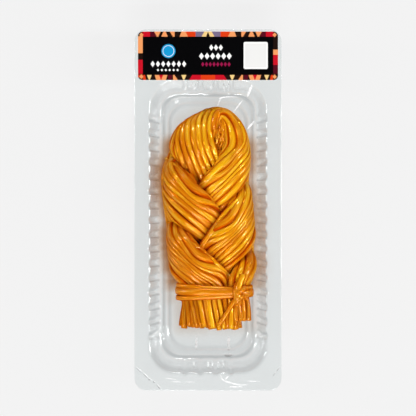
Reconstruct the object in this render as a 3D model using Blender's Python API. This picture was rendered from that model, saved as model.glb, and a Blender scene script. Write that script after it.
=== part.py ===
"""Braided smoked string cheese, sealed in its clear tray pack.

The pack lies on its back: +Z is up, +Y is the end with the label and the
folded end of the braid, and the origin is under the middle of the pack.
Sizes below are in millimetres, and MM turns them into metres.
"""

import math

import bmesh
import bpy
import numpy as np
from mathutils.bvhtree import BVHTree

MM = 0.001
GAP = 0.3

# The pack: a deep clear tray, a clear film sealed over it and a label.
PACK_WIDTH = 90.0
PACK_LENGTH = 221.0
PACK_CORNER = 7.5
TRAY_DEPTH = 30.0
TRAY_WALL = 0.6
FILM_THICK = 0.3
LABEL_WIDTH = 86.0
LABEL_LENGTH = 30.0
LABEL_CORNER = 3.0
LABEL_THICK = 0.3
LABEL_EDGE = 1.2

# The tray's cavity, nearer the pack's lower end, with ribs down its walls.
MOUTH_WIDTH = 72.6
MOUTH_LENGTH = 180.6
MOUTH_CORNER = 16.5
CAVITY_SHIFT = -10.1
RIM_ROUND = 1.6
WALL_SLOPE = 5.6
BASE_ROUND = 2.2
BASE_CORNER = 12.0
PANEL_INSET = 5.8
PANEL_DROP = 1.2
PANEL_CORNER = 10.0
SIDE_RIBS = 16
SIDE_RIB_PITCH = 8.93
SIDE_RIB_TOP = 56.6
END_RIBS = 4
END_RIB_PITCH = 9.4
RIB_WIDTH = 2.4
RIB_DEPTH = 0.9
CORNER_STEPS = 5

# The braid: one folded strand, whose two legs are plaited with a third.
# Its axis drifts to one side, and a pitch is one whole turn of the plait.
BRAID_MIDDLE = 15.5
AXIS_TOP = (-0.9, 36.7)
AXIS_SLOPE = 0.0594
PLAIT_PITCH = 119.4
PLAIT_SWING = 18.1
PLAIT_LIFT = 6.0
LIFT_LEAD = 0.2
PLAIT_TOP = 36.7
PLAIT_END = -47.0
PLAIT_STEP = 7.5
LEFT_PHASE = 4 * math.pi / 3
RIGHT_PHASE = 0.0
THIRD_PHASE = 2 * math.pi / 3

# Each leg's half width down the plait. A wide stretch is a flat one.
LEFT_WIDTHS = ((37.0, 17.5), (18.0, 15.0), (0.0, 13.0), (-33.0, 19.0), (-50.0, 12.0))
RIGHT_WIDTHS = ((37.0, 11.0), (22.0, 13.0), (7.0, 15.5), (-21.0, 13.0), (-45.0, 19.0))
THIRD_WIDTHS = ((37.0, 13.0), (14.0, 13.5), (4.0, 16.5), (-12.0, 18.0), (-43.0, 12.0))
LEG_SECTION = 142.0
LEG_THINNEST = 6.8
LEG_THICKEST = 11.0

# The fold and the hidden start of the third strand: places along each, with
# the half width, the half depth and the roll in degrees there. At no roll the
# string at a strand's edge is level with its middle, on its right going on.
FOLD = (
    (-7.9, 46.6, 17.2, 12.9, 9.0, 12),
    (-0.9, 52.8, 15.5, 9.6, 7.0, 42),
    (4.6, 58.8, 14.5, 11.2, 4.4, 75),
    (9.4, 59.2, 14.0, 11.5, 3.8, 90),
    (14.2, 54.6, 14.0, 11.5, 5.2, 90),
    (16.8, 46.5, 14.5, 11.5, 9.8, 92),
)
THIRD_START = (
    (5.0, 49.0, 8.0, 6.0, 4.0, 0),
    (-3.5, 44.0, 8.0, 10.5, 5.8, 5),
)

# The tail under the tie, where the three legs lie side by side.
TAIL_TOP = -57.0
TAIL_END = -73.0
TAIL_PITCH = 14.8
TAIL_WIDTH = 11.5
TAIL_DEPTH = 11.0

# The tie: a string of the same cheese, wound three times round the neck.
# Its turns spread out at the left, and draw together at the knot.
TIE_MIDDLE = -50.6
TIE_NECK = (-18.4, 26.4, 6.0, 25.4)
TIE_HALF_WIDTH = 1.75
TIE_HALF_DEPTH = 1.35
TURN_CLEARS = (0.5, 0.9, 0.65)
TIE_SEGMENTS = 26
TIE_SIDES = 6
TURNS_AT_LEFT = (4.0, 0.4, -3.6)
TURNS_AT_KNOT = (1.9, -0.3, -2.3)
TURNS_AT_RIGHT = (2.4, -1.2, -1.9)
KNOT = (18.4, -51.1, 27.0)
KNOT_HALF = (3.7, 5.4, 2.3)
UPPER_END = ((18.6, -48.6), (20.0, -44.0), (21.6, -40.5), (22.8, -37.6))
LOWER_END = ((16.6, -54.6), (13.6, -60.0), (10.4, -65.0), (7.2, -69.8))
UPPER_END_HALF = 1.7
LOWER_END_HALF = 1.4

# The room that the braid fills: y, left, right, lowest and highest.
ROOM = (
    (80.0, 0.0, 8.0, 2.2, 28.8),
    (62.0, -8.0, 16.0, 2.2, 28.8),
    (57.0, -18.0, 22.5, 2.2, 28.8),
    (48.0, -24.0, 25.0, 2.2, 28.8),
    (36.0, -27.0, 27.4, 2.2, 29.0),
    (20.0, -34.5, 28.2, 2.2, 29.2),
    (0.0, -36.0, 29.2, 2.2, 29.2),
    (-24.0, -28.0, 33.0, 2.2, 29.0),
    (-37.0, -24.5, 30.0, 2.4, 28.2),
    (-42.5, -20.3, 28.0, 5.0, 26.2),
    (-44.5, -18.3, 26.3, 6.0, 25.4),
    (-57.0, -18.2, 26.2, 6.0, 25.4),
    (-62.0, -17.6, 28.8, 4.0, 26.6),
    (-80.0, -17.2, 29.0, 4.0, 26.6),
)

CLEAR = (0.85, 0.87, 0.88)
CHEESE_COLOURS = {
    "folded_strand": (0.72, 0.27, 0.02),
    "third_strand": (0.66, 0.23, 0.015),
}

# How a strand is drawn: cross-sections, and strings round each of them.
SECTION_STEP = 8.1
BEND_PULL = 14.0
EASING = 5
SQUARENESS = 2.3
ROOM_SQUARENESS = 3
SAME_STRETCH = 26.0
STRINGS = 16
STRING_RELIEF = 0.8
STRING_VARIETY = 0.35
BEND_ROOM = 0.9
SWELL = 4.0
MARCH_STEPS = 70
SOFTNESS = 12
CONTACT_MARGIN = 1.085


def axis_x(y):
    """Where the plait's axis stands across the pack, at a place along it."""
    return AXIS_TOP[0] + (AXIS_TOP[1] - y) * AXIS_SLOPE


def smooth_rows(controls, step):
    """Rows read along a smooth curve through the control rows, a step apart
    where the curve is straight and closer where it bends."""
    rows = np.array(controls, float)
    ends = 2 * rows[:1] - rows[1:2], 2 * rows[-1:] - rows[-2:-1]
    p = np.vstack([ends[0], rows, ends[1]])
    fine = []
    for i in range(1, len(p) - 2):
        for t in np.linspace(0, 1, 24, endpoint=False):
            pull = p[i + 1] - p[i - 1]
            bend = 2 * p[i - 1] - 5 * p[i] + 4 * p[i + 1] - p[i + 2]
            twist = 3 * (p[i] - p[i + 1]) + p[i + 2] - p[i - 1]
            fine.append(p[i] + (pull * t + bend * t ** 2 + twist * t ** 3) / 2)
    fine = np.array(fine + [rows[-1]])
    steps = np.diff(fine[:, :3], axis=0)
    lengths = np.linalg.norm(steps, axis=1)
    way = steps / lengths[:, None]
    bends = np.linalg.norm(np.diff(way, axis=0), axis=1)
    run = np.r_[0, np.cumsum(lengths + BEND_PULL * np.r_[0, bends])]
    places = np.linspace(0, run[-1], round(run[-1] / step) + 1)
    columns = [np.interp(places, run, fine[:, k]) for k in range(fine.shape[1])]
    return np.column_stack(columns)


def plait_row(y, phase, widths):
    """A leg's place, half sizes and roll in the plait. It crosses over one
    leg and under the next, and rolls half over as it rounds each side."""
    turn = math.tau * (PLAIT_TOP - y) / PLAIT_PITCH + phase
    x = axis_x(y) + PLAIT_SWING * math.cos(turn)
    z = BRAID_MIDDLE + PLAIT_LIFT * math.sin(2 * turn + LIFT_LEAD)
    places, sizes = zip(*widths[::-1])
    width = np.interp(y, places, sizes)
    depth = min(max(LEG_SECTION / width, LEG_THINNEST), LEG_THICKEST)
    roll = 90 * (1 - math.sin(turn))
    return (x, y, z, width, depth, roll)


def leg_rows(phase, widths, tail_place, tail_roll):
    """A leg from the top of the plait to its cut end."""
    count = round((PLAIT_TOP - PLAIT_END) / PLAIT_STEP) + 1
    places = np.linspace(PLAIT_TOP, PLAIT_END, count)
    rows = [plait_row(y, phase, widths) for y in places]
    for y in (TAIL_TOP, TAIL_END):
        x = axis_x(TAIL_TOP) + tail_place * TAIL_PITCH
        rows.append((x, y, BRAID_MIDDLE - 0.5, TAIL_WIDTH, TAIL_DEPTH, tail_roll))
    return rows


def walked_back(rows):
    """The same rows for a strand that runs the other way along them."""
    return [(*row[:5], 180 - row[5]) for row in rows[::-1]]


def strand_routes():
    left = leg_rows(LEFT_PHASE, LEFT_WIDTHS, -1, 180)
    right = leg_rows(RIGHT_PHASE, RIGHT_WIDTHS, 0, 180)
    third = leg_rows(THIRD_PHASE, THIRD_WIDTHS, 1, 90)
    controls = {
        "folded_strand": walked_back(left) + list(FOLD) + right,
        "third_strand": list(THIRD_START) + third,
    }
    return {name: Route(rows) for name, rows in controls.items()}


def oblong_norm(*parts, power=SQUARENESS):
    """The size of a vector, by which 1 is an ellipse with full corners."""
    return sum(np.abs(part) ** power for part in parts) ** (1 / power)


class Route:
    """The cross-sections of a strand: places, directions and half sizes. At a
    tight bend the sections turn less than the route, so that none cross."""

    def __init__(self, controls):
        rows = smooth_rows(controls, SECTION_STEP)
        self.place = rows[:, :3]
        self.half_width = rows[:, 3]
        self.half_depth = rows[:, 4]
        along = np.gradient(self.place, axis=0)
        along /= np.linalg.norm(along, axis=1)[:, None]
        for _ in range(EASING):
            along[1:-1] += (along[:-2] + along[2:]) / 2
            along /= np.linalg.norm(along, axis=1)[:, None]
        self.along = along
        level = np.cross(self.along, (0, 0, 1))
        level /= np.linalg.norm(level, axis=1)[:, None]
        upper = np.cross(level, self.along)
        cos = np.cos(np.radians(rows[:, 5]))[:, None]
        sin = np.sin(np.radians(rows[:, 5]))[:, None]
        self.wide_way = cos * level + sin * upper
        self.deep_way = cos * upper - sin * level
        steps = np.linalg.norm(np.diff(self.place, axis=0), axis=1)
        self.run = np.r_[0, np.cumsum(steps)]

    def nearness(self, points):
        """How far each point is from each cross-section, where 1 is its skin."""
        away = points[..., None, :] - self.place
        length = np.sqrt(self.half_width * self.half_depth)
        across = np.einsum("...kc,kc->...k", away, self.wide_way) / self.half_width
        up = np.einsum("...kc,kc->...k", away, self.deep_way) / self.half_depth
        on = np.einsum("...kc,kc->...k", away, self.along) / length
        return oblong_norm(across, up, on)


def room_use(points):
    """How much of the braid's room a point uses, where 1 is its edge."""
    rows = np.array(ROOM)[::-1]
    y = points[..., 1]
    left, right, low, high = (np.interp(y, rows[:, 0], rows[:, k]) for k in (1, 2, 3, 4))
    across = (points[..., 0] - (left + right) / 2) / ((right - left) / 2)
    up = (points[..., 2] - (low + high) / 2) / ((high - low) / 2)
    return oblong_norm(across, up, power=ROOM_SQUARENESS)


def string_places(seed):
    """Shares of the way round a strand at which its ridges and grooves lie.
    The strings were pulled by hand, so some are wider than others."""
    rng = np.random.default_rng(seed)
    widths = 1 + STRING_VARIETY * rng.uniform(-1, 1, STRINGS)
    grooves = np.cumsum(widths) / widths.sum()
    ridges = grooves - widths / widths.sum() / 2
    return np.column_stack([ridges, grooves]).ravel()


def angles_round(places, width, depth):
    """The angles of places that are shares of the way round an outline."""
    turn = np.linspace(0, math.tau, 361)
    skin = 1 / oblong_norm(np.cos(turn) / width, np.sin(turn) / depth)
    outline = np.column_stack([np.cos(turn), np.sin(turn)]) * skin[:, None]
    run = np.r_[0, np.cumsum(np.linalg.norm(np.diff(outline, axis=0), axis=1))]
    return np.interp(places * run[-1], run, turn)


def section(route, rivals, k, places):
    """The ways out from the middle of one cross-section, and how far it goes
    along each before it meets its own skin, another strand or the edge of
    the braid's room."""
    width, depth = route.half_width[k], route.half_depth[k]
    angles = angles_round(places, width, depth)
    turn_x = np.cos(angles)
    turn_y = np.sin(angles)
    skin = 1 / oblong_norm(turn_x / width, turn_y / depth)
    out = turn_x[:, None] * route.wide_way[k] + turn_y[:, None] * route.deep_way[k]
    share = np.linspace(0.02, 1, MARCH_STEPS)
    points = route.place[k] + out[:, None, :] * (skin[:, None] * share)[..., None]
    elsewhere = np.abs(route.run - route.run[k]) > SAME_STRETCH
    nearest = [route.nearness(points)[..., elsewhere].min(axis=-1)]
    nearest += [rival.nearness(points).min(axis=-1) for rival in rivals]
    crowd = share / np.minimum.reduce(nearest) * CONTACT_MARGIN
    use = oblong_norm(share, crowd, room_use(points), power=SOFTNESS)
    use = np.maximum.accumulate(use, axis=1)
    reach = np.array([np.interp(1, row, share) for row in use]) * skin
    return out, reach


def strand_rings(route, rivals, places):
    """Rings of points along a strand, which swells and narrows gradually.
    Inside a bend, none reaches the plane of the next ring or the last."""
    sections = [section(route, rivals, k, places) for k in range(len(route.place))]
    outs, reaches = (np.array(part) for part in zip(*sections))
    ahead, behind = slice(1, None), slice(None, -1)
    for here, there in ((behind, ahead), (ahead, behind)):
        apart = ((route.place[there] - route.place[here]) * route.along[there]).sum(axis=1)
        closing = (outs[here] * route.along[there][:, None]).sum(axis=2)
        room = apart[:, None] / closing * BEND_ROOM
        reaches[here] = np.where(room > 0, np.minimum(reaches[here], room), reaches[here])
    for k in range(1, len(reaches)):
        reaches[k] = np.minimum(reaches[k], reaches[k - 1] + SWELL)
    for k in range(len(reaches) - 1, 0, -1):
        reaches[k - 1] = np.minimum(reaches[k - 1], reaches[k] + SWELL)
    reaches -= GAP
    reaches[:, 1::2] -= STRING_RELIEF
    return route.place[:, None] + outs * reaches[..., None]


def closed_skin(rings):
    """Points and faces of a closed solid through rings of equal counts."""
    count = len(rings[0])
    points = [tuple(point) for ring in rings for point in ring]
    faces = [tuple(range(count))]
    for k in range(len(rings) - 1):
        for i in range(count):
            a = k * count + i
            b = k * count + (i + 1) % count
            faces.append((b, a, a + count, b + count))
    faces.append(tuple(reversed(range(len(points) - count, len(points)))))
    return points, faces


def make_material(name, colour, roughness, alpha=1.0):
    material = bpy.data.materials.new(name)
    material.use_nodes = True
    material.diffuse_color = (*colour, alpha)
    shader = material.node_tree.nodes["Principled BSDF"]
    shader.inputs["Base Color"].default_value = (*colour, 1)
    shader.inputs["Roughness"].default_value = roughness
    shader.inputs["Alpha"].default_value = alpha
    return material


def add_solid(name, points, faces, material):
    """An object made from points in millimetres, with its faces pointing out."""
    data = bpy.data.meshes.new(name)
    data.from_pydata([[c * MM for c in point] for point in points], [], faces)
    data.materials.append(material)
    mesh = bmesh.new()
    mesh.from_mesh(data)
    bmesh.ops.recalc_face_normals(mesh, faces=mesh.faces)
    mesh.to_mesh(data)
    mesh.free()
    data.shade_smooth()
    data.set_sharp_from_angle(angle=math.radians(40))
    obj = bpy.data.objects.new(name, data)
    bpy.context.scene.collection.objects.link(obj)
    return obj


def make_strands():
    """The two strands of the braid, and their points and faces in one list."""
    routes = strand_routes()
    all_points, all_faces = [], []
    for seed, (name, route) in enumerate(routes.items()):
        rivals = [other for other in routes.values() if other is not route]
        places = string_places(seed)
        rings = strand_rings(route, rivals, places)
        smoked = make_material(name + "_smoked_cheese", CHEESE_COLOURS[name], 0.35)
        points, faces = closed_skin(rings)
        add_solid(name, points, faces, smoked)
        all_faces += [[len(all_points) + i for i in face] for face in faces]
        all_points += points
    return all_points, all_faces


def rib_places():
    """Where ribs stand along the cavity's sides and ends, from its middle."""
    first = SIDE_RIB_TOP - CAVITY_SHIFT
    sides = [first - SIDE_RIB_PITCH * k for k in range(SIDE_RIBS)]
    ends = [END_RIB_PITCH * (k - (END_RIBS - 1) / 2) for k in range(END_RIBS)]
    return sides, ends


def rounded_outline(width, length, corner, z, ribs=None):
    """A rounded rectangle's points, anticlockwise from its right side. Ribs
    give how far its ribs stand out, and an outline with none is plain."""
    half_x, half_y = width / 2, length / 2
    side_ribs, end_ribs = rib_places() if ribs is not None else ([], [])
    sides = (
        (half_x, 0, 0, 1, half_y - corner, side_ribs),
        (0, half_y, -1, 0, half_x - corner, end_ribs),
        (-half_x, 0, 0, -1, half_y - corner, side_ribs),
        (0, -half_y, 1, 0, half_x - corner, end_ribs),
    )
    points = []
    for mid_x, mid_y, way_x, way_y, reach, places in sides:
        for rib in sorted(place * (way_x + way_y) for place in places):
            for part in (-1, 0, 1):
                along = rib + part * RIB_WIDTH / 2
                out = 0 if part else ribs
                x = mid_x + way_x * along + way_y * out
                y = mid_y + way_y * along - way_x * out
                points.append((x, y, z))
        corner_x = mid_x + way_x * reach - way_y * corner
        corner_y = mid_y + way_y * reach + way_x * corner
        start = math.atan2(-way_x, way_y)
        for step in range(CORNER_STEPS):
            angle = start + step * math.pi / 2 / (CORNER_STEPS - 1)
            x = corner_x + corner * math.cos(angle)
            y = corner_y + corner * math.sin(angle)
            points.append((x, y, z))
    return points


def shifted(points, along):
    return [(x, y + along, z) for x, y, z in points]


def tray_outlines(wall):
    """Outlines of one skin of the tray, from its flange down to its base.
    The inner skin has no wall to it, and the outer skin lies outside by it."""
    rim = TRAY_DEPTH - wall
    wall_top = TRAY_DEPTH - RIM_ROUND - wall / 2
    ledge = TRAY_WALL + PANEL_DROP - wall
    wall_base = ledge + BASE_ROUND + wall / 2
    panel_edge = WALL_SLOPE + PANEL_INSET - wall / 2

    def cavity(inset, z, corner=MOUTH_CORNER, ribs=None):
        size = MOUTH_WIDTH - 2 * inset, MOUTH_LENGTH - 2 * inset
        return shifted(rounded_outline(*size, corner, z, ribs), CAVITY_SHIFT)

    return [
        rounded_outline(PACK_WIDTH, PACK_LENGTH, PACK_CORNER, rim),
        cavity(-RIM_ROUND - wall / 2, rim, ribs=0),
        cavity(-wall, wall_top, ribs=RIB_DEPTH),
        cavity(WALL_SLOPE - wall, wall_base, BASE_CORNER, RIB_DEPTH),
        cavity(WALL_SLOPE + BASE_ROUND - wall / 2, ledge, BASE_CORNER, 0),
        cavity(panel_edge, ledge, PANEL_CORNER),
        cavity(panel_edge + PANEL_DROP, TRAY_WALL - wall, PANEL_CORNER),
    ]


def make_tray():
    """A thin clear sheet, formed down from its flange into the tray."""
    mesh = bmesh.new()
    rims = []
    for wall in (0, TRAY_WALL):
        loops = [edge_loop(mesh, outline) for outline in tray_outlines(wall)]
        flange, lip, *walls, ledge, panel_edge, panel = loops
        for flat in (flange + lip, ledge + panel_edge):
            bmesh.ops.triangle_fill(mesh, edges=flat, use_beauty=True)
        slopes = [lip, *walls, ledge]
        for upper, lower in (*zip(slopes, slopes[1:]), (panel_edge, panel)):
            bmesh.ops.bridge_loops(mesh, edges=upper + lower)
        bmesh.ops.edgenet_fill(mesh, edges=panel)
        rims += flange
    bmesh.ops.bridge_loops(mesh, edges=rims)
    clear = make_material("clear_tray_plastic", CLEAR, 0.1, 0.25)
    points = [[c / MM for c in vert.co] for vert in mesh.verts]
    mesh.verts.index_update()
    faces = [[vert.index for vert in face.verts] for face in mesh.faces]
    mesh.free()
    add_solid("tray", points, faces, clear)


def edge_loop(mesh, outline):
    verts = [mesh.verts.new([c * MM for c in point]) for point in outline]
    return [mesh.edges.new(pair) for pair in zip(verts, verts[1:] + verts[:1])]


def make_sheet(name, width, length, corner, low, thick, middle_y, material):
    """A thin level sheet with rounded corners."""
    low_ring = shifted(rounded_outline(width, length, corner, low), middle_y)
    high_ring = shifted(rounded_outline(width, length, corner, low + thick), middle_y)
    return add_solid(name, *closed_skin([low_ring, high_ring]), material)


def make_film_and_label():
    film_low = TRAY_DEPTH + GAP
    clear = make_material("clear_film", CLEAR, 0.1, 0.2)
    make_sheet("lid_film", PACK_WIDTH, PACK_LENGTH, PACK_CORNER, film_low, FILM_THICK, 0, clear)
    label_low = film_low + FILM_THICK + GAP
    middle_y = PACK_LENGTH / 2 - LABEL_EDGE - LABEL_LENGTH / 2
    paper = make_material("label_paper", (0.02, 0.02, 0.02), 0.4)
    size = (LABEL_WIDTH, LABEL_LENGTH, LABEL_CORNER)
    make_sheet("label", *size, label_low, LABEL_THICK, middle_y, paper)


def tube(path, half_width, half_depth, level, closed=False):
    """Rings of an oval tube along a path. Level is the way its width lies."""
    path = np.array(path, float)
    if closed:
        along = np.roll(path, -1, axis=0) - np.roll(path, 1, axis=0)
    else:
        along = np.gradient(path, axis=0)
    rings = []
    for place, way in zip(path, along):
        out = np.cross(way, level)
        out /= np.linalg.norm(out)
        wide = np.cross(out, way)
        wide /= np.linalg.norm(wide)
        turns = np.linspace(0, math.tau, TIE_SIDES, endpoint=False)
        rings.append([
            place + wide * half_width * math.cos(t) + out * half_depth * math.sin(t)
            for t in turns
        ])
    return rings


def looped_skin(rings):
    """Points and faces of a closed ring-shaped tube."""
    count = len(rings[0])
    points = [tuple(point) for ring in rings for point in ring]
    total = len(points)
    faces = []
    for k in range(len(rings)):
        for i in range(count):
            a = k * count + i
            b = k * count + (i + 1) % count
            faces.append((b, a, (a + count) % total, (b + count) % total))
    return points, faces


def tie_turn(clear, at_left, at_knot, at_right):
    """One turn of the tie round the neck of the braid."""
    left, right, low, high = TIE_NECK
    clear += TIE_HALF_DEPTH
    half_x = (right - left) / 2 + clear
    half_z = (high - low) / 2 + clear
    path = []
    for turn in np.linspace(clear, clear + math.tau, TIE_SEGMENTS, endpoint=False):
        way = np.array([math.cos(turn), math.sin(turn)])
        way /= oblong_norm(*way, power=ROOM_SQUARENESS)
        x = (left + right) / 2 + way[0] * half_x
        z = (low + high) / 2 + way[1] * half_z
        places = (left, KNOT[0], right)
        y = np.interp(x, places, (at_left, at_knot, at_right))
        path.append((x, TIE_MIDDLE + y, z))
    return path


def resting_path(places, tree, half_size):
    """A path over level places, which rests on what lies under it."""
    path = []
    for x, y in places:
        heights = []
        for turn in np.linspace(0, math.tau, 8, endpoint=False):
            for reach in (0, half_size):
                start = (x + reach * math.cos(turn), y + reach * math.sin(turn), 40)
                hit = tree.ray_cast(start, (0, 0, -1))[0]
                if hit:
                    heights.append(hit.z)
        path.append((x, y, max(heights) + half_size + GAP))
    return path


def make_tie(strands):
    """The tie's turns, knot and two ends, joined into one solid."""
    cheese = make_material("tie_smoked_cheese", (0.7, 0.28, 0.03), 0.35)
    tree = BVHTree.FromPolygons(*strands)
    pieces = []
    for turn in zip(TURN_CLEARS, TURNS_AT_LEFT, TURNS_AT_KNOT, TURNS_AT_RIGHT):
        rings = tube(tie_turn(*turn), TIE_HALF_WIDTH, TIE_HALF_DEPTH, (0, 1, 0), True)
        pieces.append(looped_skin(rings))
    for places, half in ((UPPER_END, UPPER_END_HALF), (LOWER_END, LOWER_END_HALF)):
        path = resting_path(places, tree, half)
        path[0] = (*path[0][:2], KNOT[2])
        pieces.append(closed_skin(tube(path, half, half * 0.8, (1, 0, 0))))
    tie, *rest = [add_solid(f"tie_piece_{k}", *piece, cheese) for k, piece in enumerate(pieces)]
    tie.name = "tie_string"
    rest.append(add_knot(cheese))
    for piece in rest:
        piece.hide_render = True
        piece.display_type = "WIRE"
        joint = tie.modifiers.new(piece.name, "BOOLEAN")
        joint.operation = "UNION"
        joint.object = piece


def add_knot(material):
    """The knot, a lump with a bight of string over it."""
    mesh = bmesh.new()
    bmesh.ops.create_icosphere(mesh, subdivisions=2, radius=1)
    points = [np.array(vert.co) * KNOT_HALF + KNOT for vert in mesh.verts]
    faces = [[vert.index for vert in face.verts] for face in mesh.faces]
    mesh.free()
    return add_solid("knot", points, faces, material)


def main():
    for obj in list(bpy.data.objects):
        bpy.data.objects.remove(obj)
    strands = make_strands()
    make_tie(strands)
    make_tray()
    make_film_and_label()


if __name__ == "__main__":
    main()
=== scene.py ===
"""The looks of a braided smoked string cheese, sealed in its clear tray pack.

Sizes in the functions are in millimetres, and MM turns them into metres. The
settings are in metres, as Blender shows them.
"""

import math

import bpy
import numpy as np
from bpy.props import FloatProperty, FloatVectorProperty, IntProperty, PointerProperty
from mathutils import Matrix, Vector
from mathutils.bvhtree import BVHTree


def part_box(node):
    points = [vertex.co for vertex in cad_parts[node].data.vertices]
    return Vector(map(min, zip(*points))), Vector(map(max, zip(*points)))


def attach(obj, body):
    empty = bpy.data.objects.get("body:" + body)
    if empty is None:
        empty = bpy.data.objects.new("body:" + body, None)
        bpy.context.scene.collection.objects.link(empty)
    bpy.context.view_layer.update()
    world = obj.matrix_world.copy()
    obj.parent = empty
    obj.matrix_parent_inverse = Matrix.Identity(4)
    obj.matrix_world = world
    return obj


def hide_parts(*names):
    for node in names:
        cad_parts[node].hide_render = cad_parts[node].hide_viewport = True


bl_info = {
    "name": "Braided string cheese pack",
    "version": (1, 0, 0),
    "blender": (4, 5, 0),
    "location": "3D View > Sidebar > Cheese",
    "description": "Dresses a packed braid of smoked string cheese in its clear tray",
    "category": "Object",
}

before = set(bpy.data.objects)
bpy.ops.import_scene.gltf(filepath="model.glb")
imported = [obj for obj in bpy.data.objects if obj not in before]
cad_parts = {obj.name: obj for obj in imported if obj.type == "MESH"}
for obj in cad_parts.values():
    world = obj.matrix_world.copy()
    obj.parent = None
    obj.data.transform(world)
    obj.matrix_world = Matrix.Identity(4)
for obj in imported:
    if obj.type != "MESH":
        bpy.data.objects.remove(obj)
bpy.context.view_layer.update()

MM = 0.001
BODY = "root"
FOLDED = "folded_strand"
THIRD = "third_strand"
FILM_LOW, FILM_HIGH = (corner[2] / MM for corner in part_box("lid_film"))

# The plait's path, which the solids follow too.
BRAID_MIDDLE = 15.5
AXIS_TOP = (-0.9, 36.7)
AXIS_SLOPE = 0.0594
PLAIT_PITCH = 119.4
PLAIT_SWING = 18.1
PLAIT_LIFT = 6.0
LIFT_LEAD = 0.2
PLAIT_TOP = 36.7
PLAIT_END = -47.0
PLAIT_STEP = 7.5
# Each leg's turn in the plait, and its half width at places along the braid.
LEFT_PHASE = 4 * math.pi / 3
RIGHT_PHASE = 0.0
THIRD_PHASE = 2 * math.pi / 3
LEFT_WIDTHS = ((37.0, 17.5), (18.0, 15.0), (0.0, 13.0), (-33.0, 19.0), (-50.0, 12.0))
RIGHT_WIDTHS = ((37.0, 11.0), (22.0, 13.0), (7.0, 15.5), (-21.0, 13.0), (-45.0, 19.0))
THIRD_WIDTHS = ((37.0, 13.0), (14.0, 13.5), (4.0, 16.5), (-12.0, 18.0), (-43.0, 12.0))
BEND_PULL = 14.0
SQUARENESS = 2.3
LEG_SECTION = 142.0
LEG_THINNEST = 6.8
LEG_THICKEST = 11.0
# The rows over the fold and at the third strand's start: place, half width,
# half depth and roll in degrees.
FOLD = (
    (-7.9, 46.6, 17.2, 12.9, 9.0, 12),
    (-0.9, 52.8, 15.5, 9.6, 7.0, 42),
    (4.6, 58.8, 14.5, 11.2, 4.4, 75),
    (9.4, 59.2, 14.0, 11.5, 3.8, 90),
    (14.2, 54.6, 14.0, 11.5, 5.2, 90),
    (16.8, 46.5, 14.5, 11.5, 9.8, 92),
)
THIRD_START = (
    (5.0, 49.0, 8.0, 6.0, 4.0, 0),
    (-3.5, 44.0, 8.0, 10.5, 5.8, 5),
)
# The straight tails under the tie.
TAIL_TOP = -57.0
TAIL_END = -73.0
TAIL_PITCH = 14.8
TAIL_WIDTH = 11.5
TAIL_DEPTH = 11.0
# The cut ends below the tie, in rows that lie over each other.
FRINGE_TOP = -49.5
FRINGE_ROWS = 7
FRINGE_HALF = 21.6
FRINGE_PITCH = 3.6
# The heart of the plait: its ends along it, half width and depth, and height.
HEART_ENDS = (46, -52)
HEART_HALVES = (12.0, 6.5)
HEART_HEIGHT = 12.0

# Painted highlights: the ends of strands where they dive under the next one are drawn paler and
# more golden.
PAINTED_HIGHLIGHT_PLACES = ((15.5, 9.0), (17.0, -39.0), (0.5, 26.5))
PAINTED_HIGHLIGHT_REACH = 7.0
# Where the fold's top strings press the others in: beside its eye, and up to
# the edge of the next strand, given by a place on it and the way across it.
EYE_DENT = (5.5, 37.0)
FOLD_EDGE = ((9.8, 31.2), (-0.731, 0.683))

# Strings round a strand: how much they differ in width, what share of a string
# their edges wander, how much of its room a half width fills, a half depth as a
# share of that and its limits, how far they dip along their way and as a whole,
# how far they bulge out of the strand, and how light and how brown they are.
WIDTH_VARIETY = 0.46
EDGE_WANDER = 0.18
SHARE_OF_ROOM = 0.54
FLATNESS = 0.86
HALF_DEPTHS = (1.1, 1.75)
SLOW_DIP = 0.28
WHOLE_DIP = 0.4
BULGE = 0.45
TONES = (-0.34, 0.3)
# A second layer of fewer strings closes the gaps of the first.
SECOND_LAYER_DEPTH = 2.3
SECOND_LAYER_FEWER = 6
# How far strings and cores go on under the tie.
UNDER_TIE = 6
ACROSS = (1, 0, 0)
UPWARD = (0, 0, 1)

# How finely a strand is drawn.
RING_STEP = 2.7
RING_EASING = 45
ROUND_STEPS = 96
STRING_SIDES = 10

# Where the tie lies along the braid, and the neck's left, right, low and high.
TIE_MIDDLE = -50.6
TIE_NECK = (-18.4, 26.4, 6.0, 25.4)
NECK_SQUARENESS = 3
KNOT = (18.4, -51.1, 27.0)

# The pack.
PACK_SIZE = (90.0, 221.0)
PACK_CORNER = 7.5
TRAY_DEPTH = 30.0
MOUTH_SIZE = (72.6, 180.6)
MOUTH_CORNER = 16.5
CAVITY_SHIFT = -10.1
BASE_CORNER = 12.0
SIDE_RIBS = 16
SIDE_RIB_PITCH = 8.93
SIDE_RIB_TOP = 56.6
END_RIBS = 4
END_RIB_PITCH = 9.4
# How much more the cavity's end walls slope than its sides, and the inset that
# stands for the flange.
END_SLOPE = 1.15
FLANGE_INSET = -9.0
# Half of each flat stretch that is drawn finely: of the cavity, of the flange.
CAVITY_STRAIGHT = (16.2, 70.0)
FLANGE_STRAIGHT = (36.0, 100.0)
# How strongly the painted reflection and warm painted shadow of the cheese show in the plastic,
# at the left and at the right, and how far they reach.
PAINTED_REFLECTION_AND_SHADE_MOST = (0.9, 0.62)
PAINTED_REFLECTION_AND_SHADE_REACH = 5.0

# A colour mix node's inputs and its output, by number: their names aren't unique.
SHARE, FIRST, SECOND = 0, 6, 7
MIXED = 2


def paint(code):
    """An sRGB hex colour as linear red, green, blue and alpha."""
    parts = [int(code[i:i + 2], 16) / 255 for i in (1, 3, 5)]
    linear = [c / 12.92 if c <= 0.04045 else ((c + 0.055) / 1.055) ** 2.4 for c in parts]
    return (*linear, 1.0)


def unit(vectors):
    """The same directions at length one."""
    return vectors / np.linalg.norm(vectors, axis=-1, keepdims=True)


def ramp(values, start, end):
    """How far values have come from a start to an end, as a share."""
    return np.clip((values - start) / (end - start), 0, 1)


def hill(away, width):
    """One at nought, and gone about two widths away."""
    return np.exp(-((away / width) ** 2))


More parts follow.
